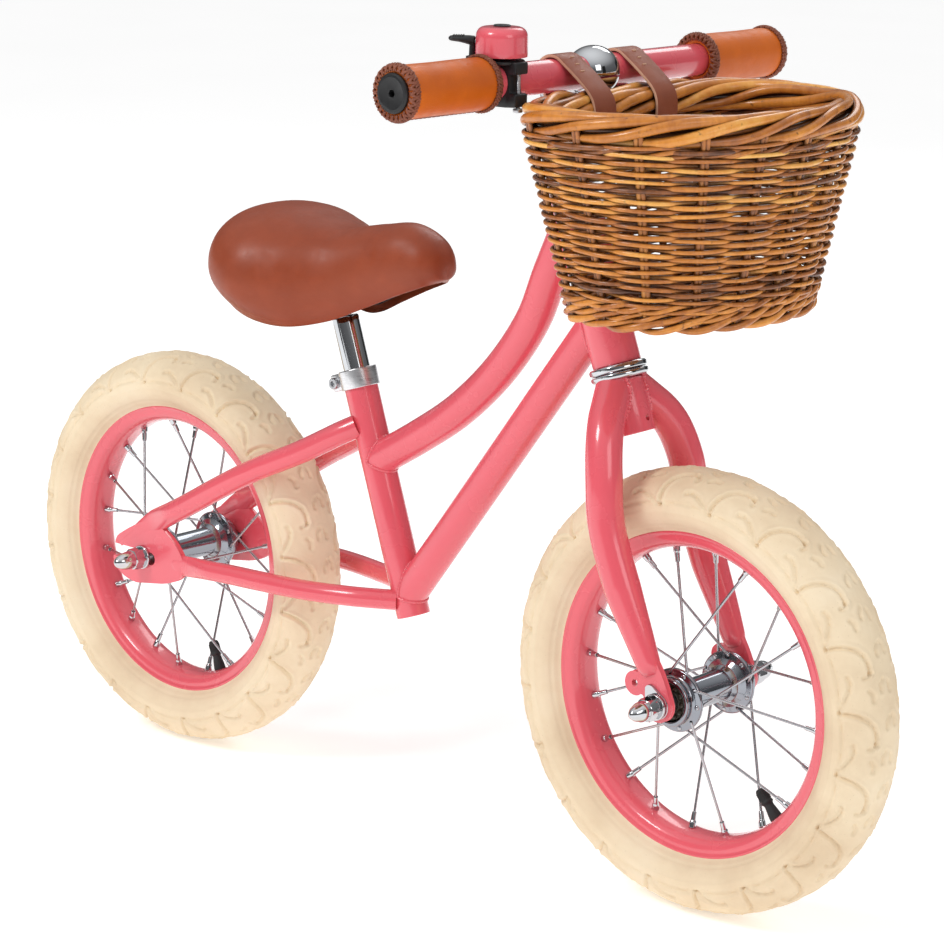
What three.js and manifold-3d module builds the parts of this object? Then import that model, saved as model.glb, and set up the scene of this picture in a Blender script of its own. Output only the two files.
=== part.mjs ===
// A child's balance bike: steel frame, unicrown fork, two 12 1/2 inch spoked wheels, quill stem,
// straight bar with leather grips and a bell, wicker basket on straps, and an adjustable saddle.
// Millimetres. +X is the direction of travel, +Y the rider's left, +Z up.
// The origin is on the ground, midway between the two axles.
import * as THREE from 'three';
import { mergeVertices } from 'three/addons/utils/BufferGeometryUtils.js';
import Module from 'manifold-3d';

const wasm = await Module();
wasm.setup();

// ---------------------------------------------------------------- driving dimensions
const WHEELBASE = 525;
const WHEEL_R = 158;               // outside radius of a 12 1/2 x 2 1/4 tyre
const TYRE_HALF_WIDTH = 28.3;
const RIM_R = 115.7;               // top of the rim's side walls
const RIM_HALF_WIDTH = 16;
const SPOKES = 20;
const LACING = Math.PI / 5;          // how far round the hub each spoke leads or trails
const AXLE_R = 4.75;
const DROPOUT_INNER_Y = 45;        // the plates that hold the axles
const DROPOUT_T = 4.5;
const NUT_TIP_Y = 79;

const HEAD_ANGLE = 69;             // degrees from the ground
const HEAD_FOOT = { x: 178.4, z: 371.3 };   // centre of the lower headset, on the steering axis
const HEAD_TUBE = { r: 17.3, bore: 14.6, from: 5, to: 130 };
const STEERER = { r: 12.7, bore: 11.7, crownR: 15.2, foot: -44.7, top: 146 };

const SEAT_ANGLE = 70.8;
const SEAT_TUBE_TOP = { x: -75.6, z: 331.5 };
const SEAT_TUBE = { r: 12.8, bore: 10.7, length: 189 };
const TUBE_R = 13;                 // top tube and down tube
const SEAT_STAY_R = 9.1;
const CHAIN_STAY_R = 7.8;
const POST_R = 10.2;
const TUBE_WALL = 1.8;

const BAR = { x: 146.5, z: 577, r: 11.5, halfLength: 196 };
const GRIP = { r: 18.5, length: 83 };
const BELL = { y: -94.5, r: 17.5, height: 20 };
const STRAP_Y = 33;
const STRAP_WIDTH = 22;

const BASKET = { topZ: 570, footZ: 423, wall: 8, rimR: 12 };
const BASKET_TOP = { back: 160, front: 336, halfWidth: 128 };
const BASKET_FOOT = { back: 189, front: 310, halfWidth: 97 };

const GAP = 0.3;                   // clearance between pieces that touch
const WELD = 0.05;                 // cuts leave slivers, and edges shorter than this close up
const RING_SEGMENTS = 24;

// ---------------------------------------------------------------- materials
const finish = (color, roughness, metalness) =>
  new THREE.MeshStandardMaterial({ color, roughness, metalness });
const paint = finish(0xe8606e, 0.25, 0.1);
const chrome = finish(0xc8ccd2, 0.12, 1);
const steel = finish(0x9aa0a6, 0.35, 1);
const aluminium = finish(0xb9bcc0, 0.4, 1);
const cream = finish(0xe9d3ae, 0.75, 0);
const rubber = finish(0x1f1f20, 0.7, 0);
const blackPlastic = finish(0x17181a, 0.5, 0);
const tanLeather = finish(0xb5682f, 0.55, 0);
const brownLeather = finish(0x8a4a33, 0.5, 0);
const saddleLeather = finish(0xa5573c, 0.45, 0);
const wicker = finish(0xb5763a, 0.65, 0);

// ---------------------------------------------------------------- geometry helpers
const v2 = (x, y) => new THREE.Vector2(x, y);
const v3 = (x, y, z) => new THREE.Vector3(x, y, z);
const radians = THREE.MathUtils.degToRad;
const mirrored = (points) => [...points, ...points.map((p) => v2(p.x, -p.y)).reverse()];

// A closed three.js geometry as a manifold solid.
function solid(geometry) {
  const bare = geometry.index ? geometry.toNonIndexed() : geometry.clone();
  bare.deleteAttribute('normal');
  bare.deleteAttribute('uv');
  const merged = mergeVertices(bare, 1e-4);
  return new wasm.Manifold(new wasm.Mesh({
    numProp: 3,
    vertProperties: new Float32Array(merged.attributes.position.array),
    triVerts: new Uint32Array(merged.index.array),
  }));
}

// A named mesh from a solid, or from a geometry that is already one closed body.
function piece(name, body, material) {
  let geometry = body;
  if (!body.isBufferGeometry) {
    const mesh = body.simplify(WELD).getMesh();
    geometry = new THREE.BufferGeometry();
    geometry.setAttribute('position', new THREE.BufferAttribute(mesh.vertProperties.slice(), 3));
    geometry.setIndex(new THREE.BufferAttribute(mesh.triVerts.slice(), 1));
  }
  const mesh = new THREE.Mesh(geometry, material);
  mesh.name = name;
  return mesh;
}

// A turned piece: the profile holds (radius, height) points, as one closed outline.
function turned(profile, segments, axis = 'z') {
  const closed = profile[0].x === 0 ? profile : [...profile, profile[0].clone()];
  const geometry = new THREE.LatheGeometry(closed, segments, Math.PI / segments);
  if (axis === 'z') geometry.rotateX(Math.PI / 2);
  const result = solid(geometry);
  return result.volume() < 0 ? solid(flipped(geometry)) : result;
}

function flipped(geometry) {
  const copy = geometry.toNonIndexed();
  const p = copy.attributes.position.array;
  for (let i = 0; i < p.length; i += 9) {
    for (let k = 0; k < 3; k++) [p[i + 3 + k], p[i + 6 + k]] = [p[i + 6 + k], p[i + 3 + k]];
  }
  return copy;
}

// A straight rod from a to b, with an end radius at each.
function rod(a, b, r1, sides = 16, r2 = r1) {
  const along = b.clone().sub(a);
  const geometry = new THREE.CylinderGeometry(r2, r1, along.length(), sides);
  const turn = new THREE.Quaternion().setFromUnitVectors(v3(0, 1, 0), along.clone().normalize());
  geometry.applyQuaternion(turn);
  geometry.translate(...a.clone().add(b).multiplyScalar(0.5).toArray());
  return solid(geometry);
}

function block(x0, x1, y0, y1, z0, z1) {
  const geometry = new THREE.BoxGeometry(x1 - x0, y1 - y0, z1 - z0);
  geometry.translate((x0 + x1) / 2, (y0 + y1) / 2, (z0 + z1) / 2);
  return solid(geometry);
}

// A closed skin over rings of equal length, with a fan over each end.
function loft(rings) {
  const count = rings[0].length;
  const centre = (ring) => ring.reduce((sum, p) => sum.add(p), v3(0, 0, 0)).divideScalar(count);
  const points = [...rings.flat(), centre(rings[0]), centre(rings.at(-1))];
  const first = rings.length * count;
  const index = [];
  for (let r = 0; r + 1 < rings.length; r++) {
    for (let i = 0; i < count; i++) {
      const j = (i + 1) % count;
      const [a, b, c, d] = [r * count + i, r * count + j, (r + 1) * count + j, (r + 1) * count + i];
      index.push(a, b, c, a, c, d);
    }
  }
  for (let i = 0; i < count; i++) {
    const j = (i + 1) % count;
    const last = (rings.length - 1) * count;
    index.push(first, j, i, first + 1, last + i, last + j);
  }
  const geometry = new THREE.BufferGeometry().setFromPoints(points);
  geometry.setIndex(index);
  const result = solid(geometry);
  return result.volume() < 0 ? solid(flipped(geometry)) : result;
}

// A tube swept along a smooth curve through points, with a radius that may change on the way.
function sweep(points, radius, steps = 14, sides = 12) {
  const curve = new THREE.CatmullRomCurve3(points, false, 'centripetal');
  const frames = curve.computeFrenetFrames(steps, false);
  const radiusAt = typeof radius === 'function' ? radius : () => radius;
  const rings = [];
  for (let i = 0; i <= steps; i++) {
    const centre = curve.getPointAt(i / steps);
    rings.push(Array.from({ length: sides }, (_, k) => {
      const angle = (2 * Math.PI * k) / sides;
      return centre.clone()
        .addScaledVector(frames.normals[i], radiusAt(i / steps) * Math.cos(angle))
        .addScaledVector(frames.binormals[i], radiusAt(i / steps) * Math.sin(angle));
    }));
  }
  return loft(rings);
}

// A flat plate in the X-Z plane, from y0 to y1.
function plate(shape, y0, y1, curveSegments = 8) {
  const geometry = new THREE.ExtrudeGeometry(shape, {
    depth: y1 - y0, bevelEnabled: false, curveSegments,
  });
  geometry.rotateX(Math.PI / 2);
  geometry.translate(0, y1, 0);
  return solid(geometry);
}

const sides = [['left', 1], ['right', -1]];
const mirrorY = (body, sign) => (sign > 0 ? body : body.scale([1, -1, 1]));
const yRod = (x, z, y0, y1, r, n = 16) => rod(v3(x, y0, z), v3(x, y1, z), r, n);

// ---------------------------------------------------------------- wheels
// Built about the origin, with the axle along Y. Profiles hold (radius, y) points.
function wheel(prefix, valveAngle) {
  const group = new THREE.Group();
  const facet = Math.cos(Math.PI / RING_SEGMENTS);   // so that flat facets touch the true radius
  const crownR = WHEEL_R / facet;

  const tyre = turned(mirrored([
    v2(151.5, 9), v2(141, 22), v2(124, 20), v2(110, 10), v2(110, 13.8), v2(116.3, 13.8),
    v2(118.5, 21), v2(130, TYRE_HALF_WIDTH), v2(147, 23.5), v2(crownR, 7),
  ].reverse()), RING_SEGMENTS, 'y');

  const rimSection = mirrored([
    v2(102.4, 4), v2(107, RIM_HALF_WIDTH - 1), v2(RIM_R - 0.4, RIM_HALF_WIDTH),
    v2(RIM_R - 0.4, 14.2), v2(108.6, 14.1), v2(104.2, 4),
  ]);
  let rim = turned(rimSection, RING_SEGMENTS, 'y');

  const tapeR = 106.4;
  let spokes = turned(mirrored([v2(tapeR, 5), v2(tapeR - 1.4, 5)].reverse()), RING_SEGMENTS, 'y');
  const flangeY = 29;
  for (let i = 0; i < SPOKES; i++) {
    const side = i % 2 ? 1 : -1;
    const hole = Math.floor(i / 2);
    const lead = hole % 2 ? 1 : -1;
    const rimAngle = (2 * Math.PI * (i + 0.5)) / SPOKES + valveAngle;
    const hubAngle = rimAngle + lead * LACING;
    const outside = lead > 0 ? 4.2 : -2.8;
    const start = v3(19.5 * Math.cos(hubAngle), side * (flangeY + outside), 19.5 * Math.sin(hubAngle));
    const end = v3((tapeR - 0.7) * Math.cos(rimAngle), side * 1.5, (tapeR - 0.7) * Math.sin(rimAngle));
    spokes = spokes.add(rod(start, end, 1.05, 4));
    const inward = start.clone().sub(end).normalize();
    rim = rim.subtract(rod(end.clone().addScaledVector(inward, -6),
      end.clone().addScaledVector(inward, 14), 1.9, 4));
  }

  const valveDirection = v3(Math.cos(valveAngle), 0, Math.sin(valveAngle));
  const onValve = (r) => valveDirection.clone().multiplyScalar(r);
  const ringSection = (r, count) => Array.from({ length: count }, (_, k) => {
    const angle = (2 * Math.PI * (k + 0.5)) / count;
    return v2(132.5 + r * Math.cos(angle), r * Math.sin(angle));
  });
  const innerTube = turned(ringSection(16.5, 6), 20, 'y')
    .add(rod(onValve(84), onValve(122), 4, 8))
    .subtract(turned(ringSection(14, 5), 20, 'y'))
    .subtract(rod(onValve(80), onValve(124), 1.6, 6));
  const valveWay = rod(onValve(95), onValve(121), 5, 8);
  rim = rim.subtract(valveWay);
  spokes = spokes.subtract(valveWay);

  const hub = turned(mirrored([
    v2(11.5, 17), v2(17, flangeY - 1.5), v2(22.5, flangeY - 1.2), v2(22.5, flangeY + 1.2),
    v2(16.5, flangeY + 1.4), v2(16.5, 38.5), v2(13.8, 38.5), v2(13.8, 31.5), v2(6.5, 30.5),
  ]), 14, 'y');

  group.add(
    piece(`${prefix}_tyre`, tyre, cream),
    piece(`${prefix}_inner_tube`, innerTube, rubber),
    piece(`${prefix}_rim`, rim, paint),
    piece(`${prefix}_spokes`, spokes, steel),
    piece(`${prefix}_hub`, hub, chrome),
  );
  return group;
}

// Axle, bearings and nuts stay still while the wheel turns, so they belong to the frame or the fork.
function axleSet(prefix, washers) {
  const group = new THREE.Group();
  const axle = turned([
    v2(0, -66), v2(AXLE_R, -66), v2(AXLE_R, -43.5), v2(8, -43.5), v2(8, -38), v2(5.6, -35.5),
    v2(5.6, 35.5), v2(8, 38), v2(8, 43.5), v2(AXLE_R, 43.5), v2(AXLE_R, 66), v2(0, 66),
  ], 10, 'y');
  group.add(piece(`${prefix}_axle`, axle, steel));
  const plateOuter = DROPOUT_INNER_Y + DROPOUT_T;
  const nutFrom = plateOuter + (washers ? 2.6 : 0.6);
  for (const [side, sign] of sides) {
    const bearing = turned([
      v2(6.1, 31.9), v2(13.1, 31.9), v2(13.1, 36.5), v2(8.5, 37.6), v2(6.1, 35.4),
    ], 12, 'y');
    const nut = yRod(0, 0, nutFrom, nutFrom + 2.2, 9.4, 12)
      .add(yRod(0, 0, nutFrom + 1.5, nutFrom + 12, 8.6, 6))
      .add(turned([
        v2(0, nutFrom + 11), v2(7.6, nutFrom + 11), v2(7, nutFrom + 18), v2(3.6, NUT_TIP_Y - 1.6),
        v2(0, NUT_TIP_Y),
      ], 8, 'y'))
      .subtract(yRod(0, 0, 40, 66.6, AXLE_R + 0.6, 8));
    group.add(piece(`${prefix}_bearing_${side}`, mirrorY(bearing, sign), steel));
    group.add(piece(`${prefix}_axle_nut_${side}`, mirrorY(nut, sign), chrome));
  }
  return group;
}

// ---------------------------------------------------------------- frame
// The two ends of the frame's main axes.
const headUp = v3(-Math.cos(radians(HEAD_ANGLE)), 0, Math.sin(radians(HEAD_ANGLE)));
const headFoot = v3(HEAD_FOOT.x, 0, HEAD_FOOT.z);
const onHead = (s) => headFoot.clone().addScaledVector(headUp, s);
const seatUp = v3(-Math.cos(radians(SEAT_ANGLE)), 0, Math.sin(radians(SEAT_ANGLE)));
const seatTop = v3(SEAT_TUBE_TOP.x, 0, SEAT_TUBE_TOP.z);
const onSeat = (s) => seatTop.clone().addScaledVector(seatUp, s);

const frame = new THREE.Group();
const headTubeSolid = rod(onHead(HEAD_TUBE.from), onHead(HEAD_TUBE.to), HEAD_TUBE.r, 24);
const headBore = rod(onHead(HEAD_TUBE.from - 1), onHead(HEAD_TUBE.to + 1), HEAD_TUBE.bore, 24);
const headClearance = rod(onHead(HEAD_TUBE.from - 20), onHead(HEAD_TUBE.to + 20), HEAD_TUBE.r + GAP, 24);
const seatTubeSolid = rod(onSeat(-SEAT_TUBE.length), onSeat(0), SEAT_TUBE.r, 20);
const seatBore = rod(onSeat(-SEAT_TUBE.length - 1), onSeat(1), SEAT_TUBE.bore, 20);
const seatClearance = rod(onSeat(-SEAT_TUBE.length - 30), onSeat(20), SEAT_TUBE.r + GAP, 20);

const topTubeRoute = [
  v3(-57, 0, 264.5), v3(-10.5, 0, 292), v3(30.5, 0, 320), v3(69.5, 0, 357), v3(98.5, 0, 397),
  v3(115, 0, 436), v3(140, 0, 486),
];
const downTubeRoute = [v3(-23, 0, 162.4), v3(166, 0, 414)];
const topTube = sweep(topTubeRoute, TUBE_R, 12, 12).subtract(sweep(topTubeRoute, TUBE_R - TUBE_WALL, 12, 8))
  .subtract(headClearance).subtract(seatClearance);
const downTube = rod(...downTubeRoute, TUBE_R, 14).subtract(rod(...downTubeRoute, TUBE_R - TUBE_WALL, 10))
  .subtract(headClearance).subtract(seatClearance);
// A clamp slit at the top of the seat tube, open at the back, lets the collar squeeze the post.
const seatSlit = block(-16, 0, -1.2, 1.2, -24, 2)
  .rotate([0, -(90 - SEAT_ANGLE), 0]).translate(seatTop.toArray());
const seatTubeShell = seatTubeSolid.subtract(seatBore).subtract(seatSlit);

frame.add(
  piece('head_tube', headTubeSolid.subtract(headBore), paint),
  piece('top_tube', largest(topTube), paint),
  piece('down_tube', largest(downTube), paint),
  piece('seat_tube', seatTubeShell, paint),
);

// The biggest body of a solid that cuts have split.
function largest(body) {
  return body.decompose().sort((a, b) => b.volume() - a.volume())[0];
}

const rearAxle = v3(-WHEELBASE / 2, 0, WHEEL_R);
const frontAxle = v3(WHEELBASE / 2, 0, WHEEL_R);

function rearDropout() {
  const outline = new THREE.Shape();
  outline.moveTo(-297, 150);
  outline.quadraticCurveTo(-292, 137, -270, 136);
  outline.lineTo(-240, 141);
  outline.quadraticCurveTo(-219, 146, -217, 153);
  outline.lineTo(-217, 166);
  outline.quadraticCurveTo(-226, 177, -232, 181);
  outline.lineTo(-262, 192);
  outline.lineTo(-290, 172);
  outline.quadraticCurveTo(-298, 162, -297, 150);
  const slot = block(-310, rearAxle.x + 9, 0, 90, WHEEL_R - AXLE_R - 0.4, WHEEL_R + AXLE_R + 0.4)
    .add(yRod(rearAxle.x + 9, WHEEL_R, 0, 90, AXLE_R + 0.4, 12));
  return plate(outline, DROPOUT_INNER_Y, DROPOUT_INNER_Y + DROPOUT_T, 4).subtract(slot);
}

const seatStayRoute = [
  v3(-66, 9, 292), v3(-76, 16, 286), v3(-106, 29, 268), v3(-144, 40.5, 249), v3(-175, 45, 231.5),
  v3(-217, 47, 207), v3(-252, 47.4, 188),
];
const chainStayRoute = [
  v3(-22, 9, 165), v3(-50, 27, 165.5), v3(-90, 39, 164.5), v3(-130, 45, 164), v3(-172, 47, 162.5),
  v3(-228, 47.4, 158.5),
];
for (const [side, sign] of sides) {
  const dropout = rearDropout();
  const dropoutRoom = block(-330, -205, DROPOUT_INNER_Y - GAP, DROPOUT_INNER_Y + DROPOUT_T + GAP, 120, 200);
  const seatStay = sweep(seatStayRoute, SEAT_STAY_R, 10, 10)
    .subtract(sweep(seatStayRoute.slice(0, -1), SEAT_STAY_R - TUBE_WALL, 8, 6))
    .subtract(seatClearance).subtract(dropoutRoom);
  const chainStay = sweep(chainStayRoute, CHAIN_STAY_R, 9, 10)
    .subtract(sweep(chainStayRoute.slice(0, -1), CHAIN_STAY_R - TUBE_WALL, 8, 6))
    .subtract(seatClearance).subtract(dropoutRoom);
  // The two sides of a stay would meet inside the tubes, so each keeps to its own side.
  const half = block(-400, 200, 0.4, 200, 0, 600);
  const down = rod(...downTubeRoute, TUBE_R + GAP, 14);
  const top = sweep(topTubeRoute, TUBE_R + GAP, 12, 12);
  const own = (body) => mirrorY(largest(body.intersect(half).subtract(down).subtract(top)), sign);
  frame.add(
    piece(`seat_stay_${side}`, own(seatStay), paint),
    piece(`chain_stay_${side}`, own(chainStay), paint),
    piece(`rear_dropout_${side}`, mirrorY(dropout, sign), paint),
  );
}

// Headset cups, pressed into the head tube, built along the steering axis.
const steering = new THREE.Group();
steering.position.copy(headFoot);
steering.rotation.y = -radians(90 - HEAD_ANGLE);
const headCups = new THREE.Group();
headCups.position.copy(steering.position);
headCups.rotation.copy(steering.rotation);
headCups.add(
  piece('lower_headset_cup', turned([
    v2(13.2, -0.4), v2(20.7, -0.4), v2(20.7, 4.7), v2(14.2, 4.7), v2(14.2, 14), v2(13.2, 14),
  ], 18), chrome),
  piece('upper_headset_cup', turned([
    v2(13.2, 121), v2(14.2, 121), v2(14.2, 130.3), v2(19.5, 130.3), v2(18.6, 136), v2(13.2, 136),
  ], 18), chrome),
);
frame.add(headCups);

// Seat collar with its binder bolt behind the tube, built along the seat tube.
const collarEars = block(-23, -10, -7, 7, -12, 1);
const collar = rod(v3(0, 0, -13), v3(0, 0, 1.6), 14.7, 18).add(collarEars)
  .subtract(rod(v3(0, 0, -20), v3(0, 0, GAP), SEAT_TUBE.r + GAP, 20))
  .subtract(rod(v3(0, 0, -20), v3(0, 0, 20), POST_R + 0.8, 20))
  .subtract(block(-30, -5, -1.2, 1.2, -20, 20))
  .subtract(rod(v3(-18.5, -20, -5.5), v3(-18.5, 20, -5.5), 2.8, 8));
const collarBolt = rod(v3(-18.5, -8, -5.5), v3(-18.5, 10.5, -5.5), 2.4, 8)
  .add(rod(v3(-18.5, -11, -5.5), v3(-18.5, -7.4, -5.5), 4.2, 10))
  .add(rod(v3(-18.5, 7.4, -5.5), v3(-18.5, 10.5, -5.5), 4.2, 6));
const seatCollar = new THREE.Group();
seatCollar.position.copy(seatTop);
seatCollar.rotation.y = -radians(90 - SEAT_ANGLE);
seatCollar.add(
  piece('seat_clamp', collar, aluminium),
  piece('seat_clamp_bolt', collarBolt, steel),
);
frame.add(seatCollar);

const rearAxleGroup = axleSet('rear', false);
rearAxleGroup.position.copy(rearAxle);
frame.add(rearAxleGroup);

// ---------------------------------------------------------------- fork, along the steering axis
// Local x points forward from the axis and local z up along it.
const axleLocal = frontAxle.clone().sub(headFoot)
  .applyAxisAngle(v3(0, 1, 0), radians(90 - HEAD_ANGLE));
const bladeRoute = [
  v3(0, 5, -15), v3(2, 22, -24), v3(4, 36, -42), v3(2, 44.5, -68), v3(-4, 47.5, -100),
  v3(-4, 48, -140), v3(0, 47.8, -183), v3(2.6, 47.4, -206),
];
const crownOuter = rod(v3(0, 0, STEERER.foot), v3(0, 0, -6.3), STEERER.crownR, 20);
const crownBore = rod(v3(0, 0, STEERER.foot - 1), v3(0, 0, STEERER.top + 1), STEERER.bore, 20);
const steererSolid = crownOuter.add(rod(v3(0, 0, -7), v3(0, 0, STEERER.top), STEERER.r, 20))
  .subtract(crownBore);

function forkDropout() {
  const at = (x, z) => [axleLocal.x + x, axleLocal.z + z];
  const outline = new THREE.Shape();
  outline.moveTo(...at(-6.5, 20));
  outline.lineTo(...at(-7.5, 25.5));
  outline.absarc(axleLocal.x - 15, axleLocal.z + 18.5, 8, radians(45), radians(300), false);
  outline.lineTo(...at(-9.5, 6));
  outline.absarc(axleLocal.x, axleLocal.z, 11, radians(150), radians(360), false);
  outline.lineTo(...at(10, 10));
  outline.quadraticCurveTo(...at(8, 24), ...at(7, 40));
  outline.lineTo(...at(-6.5, 40));
  const hole = (x, z, r) => yRod(axleLocal.x + x, axleLocal.z + z, 0, 90, r, 8);
  return plate(outline, DROPOUT_INNER_Y, DROPOUT_INNER_Y + DROPOUT_T, 5)
    .subtract(hole(-15, 18.5, 2.6))
    .subtract(hole(0, 0, AXLE_R + 0.4))
    .subtract(hole(-2.5, 13.8, 1.9))
    .subtract(block(axleLocal.x - 30, axleLocal.x, 0, 90,
      axleLocal.z - AXLE_R - 0.4, axleLocal.z + AXLE_R + 0.4));
}

const forkGroup = new THREE.Group();
forkGroup.add(piece('steerer', steererSolid, paint));
for (const [side, sign] of sides) {
  const taper = (t) => TUBE_R - 5.4 * Math.max(0, (t - 0.8) / 0.2) ** 1.5;
  const blade = sweep(bladeRoute, taper, 12, 10)
    .subtract(sweep(bladeRoute.slice(0, -2), TUBE_R - TUBE_WALL, 9, 8))
    .subtract(rod(v3(0, 0, -200), v3(0, 0, 30), STEERER.crownR + GAP, 20))
    .intersect(block(-60, 60, 0.4, 90, -300, -9))
    .add(forkDropout());
  forkGroup.add(piece(`fork_blade_${side}`, mirrorY(largest(blade), sign), paint));
  const tab = new THREE.Shape();
  tab.absarc(axleLocal.x, axleLocal.z, 9, radians(150), radians(390), false);
  tab.lineTo(axleLocal.x - 0.8, axleLocal.z + 15);
  tab.lineTo(axleLocal.x - 4.2, axleLocal.z + 15);
  const plateOuter = DROPOUT_INNER_Y + DROPOUT_T;
  const washer = plate(tab, plateOuter + GAP, plateOuter + 2.3, 6)
    .subtract(yRod(axleLocal.x, axleLocal.z, 0, 90, AXLE_R + 0.7, 8));
  forkGroup.add(piece(`tab_washer_${side}`, mirrorY(washer, sign), chrome));
}
forkGroup.add(
  piece('crown_race', turned([
    v2(13, -6), v2(19.5, -6), v2(20.7, -4.4), v2(20.7, -0.8), v2(13, -0.8),
  ], 18), chrome),
  piece('headset_locknut', turned([
    v2(13.2, 136.4), v2(19, 136.4), v2(19, 138.2), v2(16.6, 138.6), v2(16.6, 144.5), v2(13.2, 144.5),
  ], 16), chrome),
);
const frontAxleGroup = axleSet('front', true);
frontAxleGroup.position.copy(axleLocal);
forkGroup.add(frontAxleGroup);
const frontWheel = wheel('front', radians(-48));
frontWheel.position.copy(axleLocal);
frontWheel.rotation.y = radians(90 - HEAD_ANGLE);   // upright again, so a flat facet meets the ground
steering.add(forkGroup, frontWheel);

// ---------------------------------------------------------------- stem and handlebar
const barLocal = v3(BAR.x, 0, BAR.z).sub(headFoot).applyAxisAngle(v3(0, 1, 0), radians(90 - HEAD_ANGLE));
const cockpit = new THREE.Group();
const barWay = yRod(barLocal.x, barLocal.z, -60, 60, BAR.r + GAP, 16);
const quill = sweep([v3(0, 0, 60), v3(0, 0, 120), v3(0, 0, 172), v3(5, 0, 190), v3(18, 0, 200),
  v3(34, 0, barLocal.z)], 10.7, 9, 12);
const clampBall = new THREE.SphereGeometry(17.5, 12, 8);
clampBall.scale(1, 1.05, 1);
clampBall.translate(barLocal.x, 0, barLocal.z);
const expanderWay = rod(v3(0, 0, 40), v3(0, 0, 230), 4.6, 10);
const clampSlit = block(barLocal.x, barLocal.x + 30, -30, 30, barLocal.z - 1, barLocal.z + 1);
const stem = quill.add(solid(clampBall)).subtract(barWay).subtract(expanderWay).subtract(clampSlit);
const expander = rod(v3(0, 0, 52), v3(0, 0, 205), 3.6, 10)
  .add(rod(v3(0, 0, 197), v3(0, 0, 205), 3.6, 6))
  .add(rod(v3(0, 0, 40), v3(0, 0, 59.5), 10.6, 12));

// The bar is one steel tube, open at its ends, where the plugs go in.
const barTube = yRod(0, 0, -BAR.halfLength, BAR.halfLength, BAR.r, 16)
  .subtract(yRod(0, 0, -BAR.halfLength - 1, BAR.halfLength + 1, BAR.r - 1.6, 16));
const bars = new THREE.Group();
bars.position.set(BAR.x, 0, BAR.z);
bars.add(piece('handlebar', barTube, paint));
for (const [side, sign] of sides) {
  const outer = BAR.halfLength;
  const grip = yRod(0, 0, outer - GRIP.length, outer + 1, GRIP.r, 16)
    .subtract(yRod(0, 0, 0, outer + 5, BAR.r + GAP, 16));
  const plug = turned([
    v2(0, outer - 16), v2(BAR.r - 2, outer - 16), v2(BAR.r - 2, outer + 1.4), v2(13.5, outer + 1.4),
    v2(13.5, outer + 3.6), v2(2.2, outer + 3.6), v2(2.2, outer + 1.5), v2(0, outer + 1.5),
  ], 14, 'y');
  bars.add(piece(`grip_${side}`, mirrorY(grip, sign), tanLeather));
  bars.add(piece(`bar_plug_${side}`, mirrorY(plug, sign), blackPlastic));
}

// ---------------------------------------------------------------- bell
const bell = new THREE.Group();
bell.position.set(BAR.x, BELL.y, BAR.z);
const bellFoot = BAR.r + 2.6;       // top of the base plate above the bar's centre
const bellBase = rod(v3(0, 0, BAR.r + 0.4), v3(0, 0, bellFoot), 15, 14)
  .add(rod(v3(0, 0, bellFoot - 1), v3(0, 0, bellFoot + BELL.height - 2.4), 2.6, 8))
  .add(block(-17.5, 17.5, -6, 6, -BAR.r - 4.5, BAR.r + 3))
  .subtract(yRod(0, 0, -20, 20, BAR.r + GAP, 20))
  .subtract(block(8, 30, -8, 8, -10, -4.4))
  .subtract(rod(v3(14.8, 0, -40), v3(14.8, 0, 9), 1.9, 8));
const clampScrew = rod(v3(14.8, 0, -BAR.r - 3.6), v3(14.8, 0, 7), 1.5, 8)
  .add(rod(v3(14.8, 0, -BAR.r - 7), v3(14.8, 0, -BAR.r - 4.8), 3.2, 10))
  .add(rod(v3(14.8, 0, -BAR.r - 5), v3(14.8, 0, -BAR.r - 3), 1.5, 8));
const domeFoot = bellFoot + 2.6;
const domeTop = domeFoot + BELL.height;
const dome = turned([
  v2(BELL.r, domeFoot), v2(BELL.r, domeTop - 6), v2(BELL.r - 1.8, domeTop - 2), v2(BELL.r - 6, domeTop),
  v2(3, domeTop), v2(3, domeTop - 1.4), v2(BELL.r - 6.4, domeTop - 1.4),
  v2(BELL.r - 1.4, domeTop - 6.2), v2(BELL.r - 1.4, domeFoot),
], 16);
// The thumb lever turns on a post at the rear outboard corner and carries the striker inside.
const leverAngle = radians(215);
const pivot = v3(19.6 * Math.cos(leverAngle), 19.6 * Math.sin(leverAngle), 0);
const outward = v3(Math.cos(leverAngle), Math.sin(leverAngle), 0);
const onLever = (r, z) => outward.clone().multiplyScalar(r).setZ(z);
const post = rod(pivot.clone().setZ(bellFoot - 5), pivot.clone().setZ(bellFoot - 0.4), 4.2, 10)
  .add(rod(onLever(11, bellFoot - 2.4), onLever(20, bellFoot - 2.4), 2, 8));
const leverHub = rod(pivot.clone().setZ(bellFoot + 0.1), pivot.clone().setZ(bellFoot + 14), 1.7, 10)
  .add(rod(pivot.clone().setZ(bellFoot + 0.1), pivot.clone().setZ(bellFoot + 2.2), 4.2, 12))
  .add(rod(onLever(20, bellFoot + 12), onLever(35, bellFoot + 13.5), 3.6, 10, 2.6))
  .add(rod(onLever(8, bellFoot + 1.3), onLever(19, bellFoot + 1.3), 0.9, 6))
  .add(rod(onLever(8, bellFoot + 0.5), onLever(8, bellFoot + 9), 2, 8));
bell.add(
  piece('bell_base', bellBase.add(post), blackPlastic),
  piece('bell_clamp_screw', clampScrew, steel),
  piece('bell_dome', dome, paint),
  piece('bell_lever', leverHub, blackPlastic),
);

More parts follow.
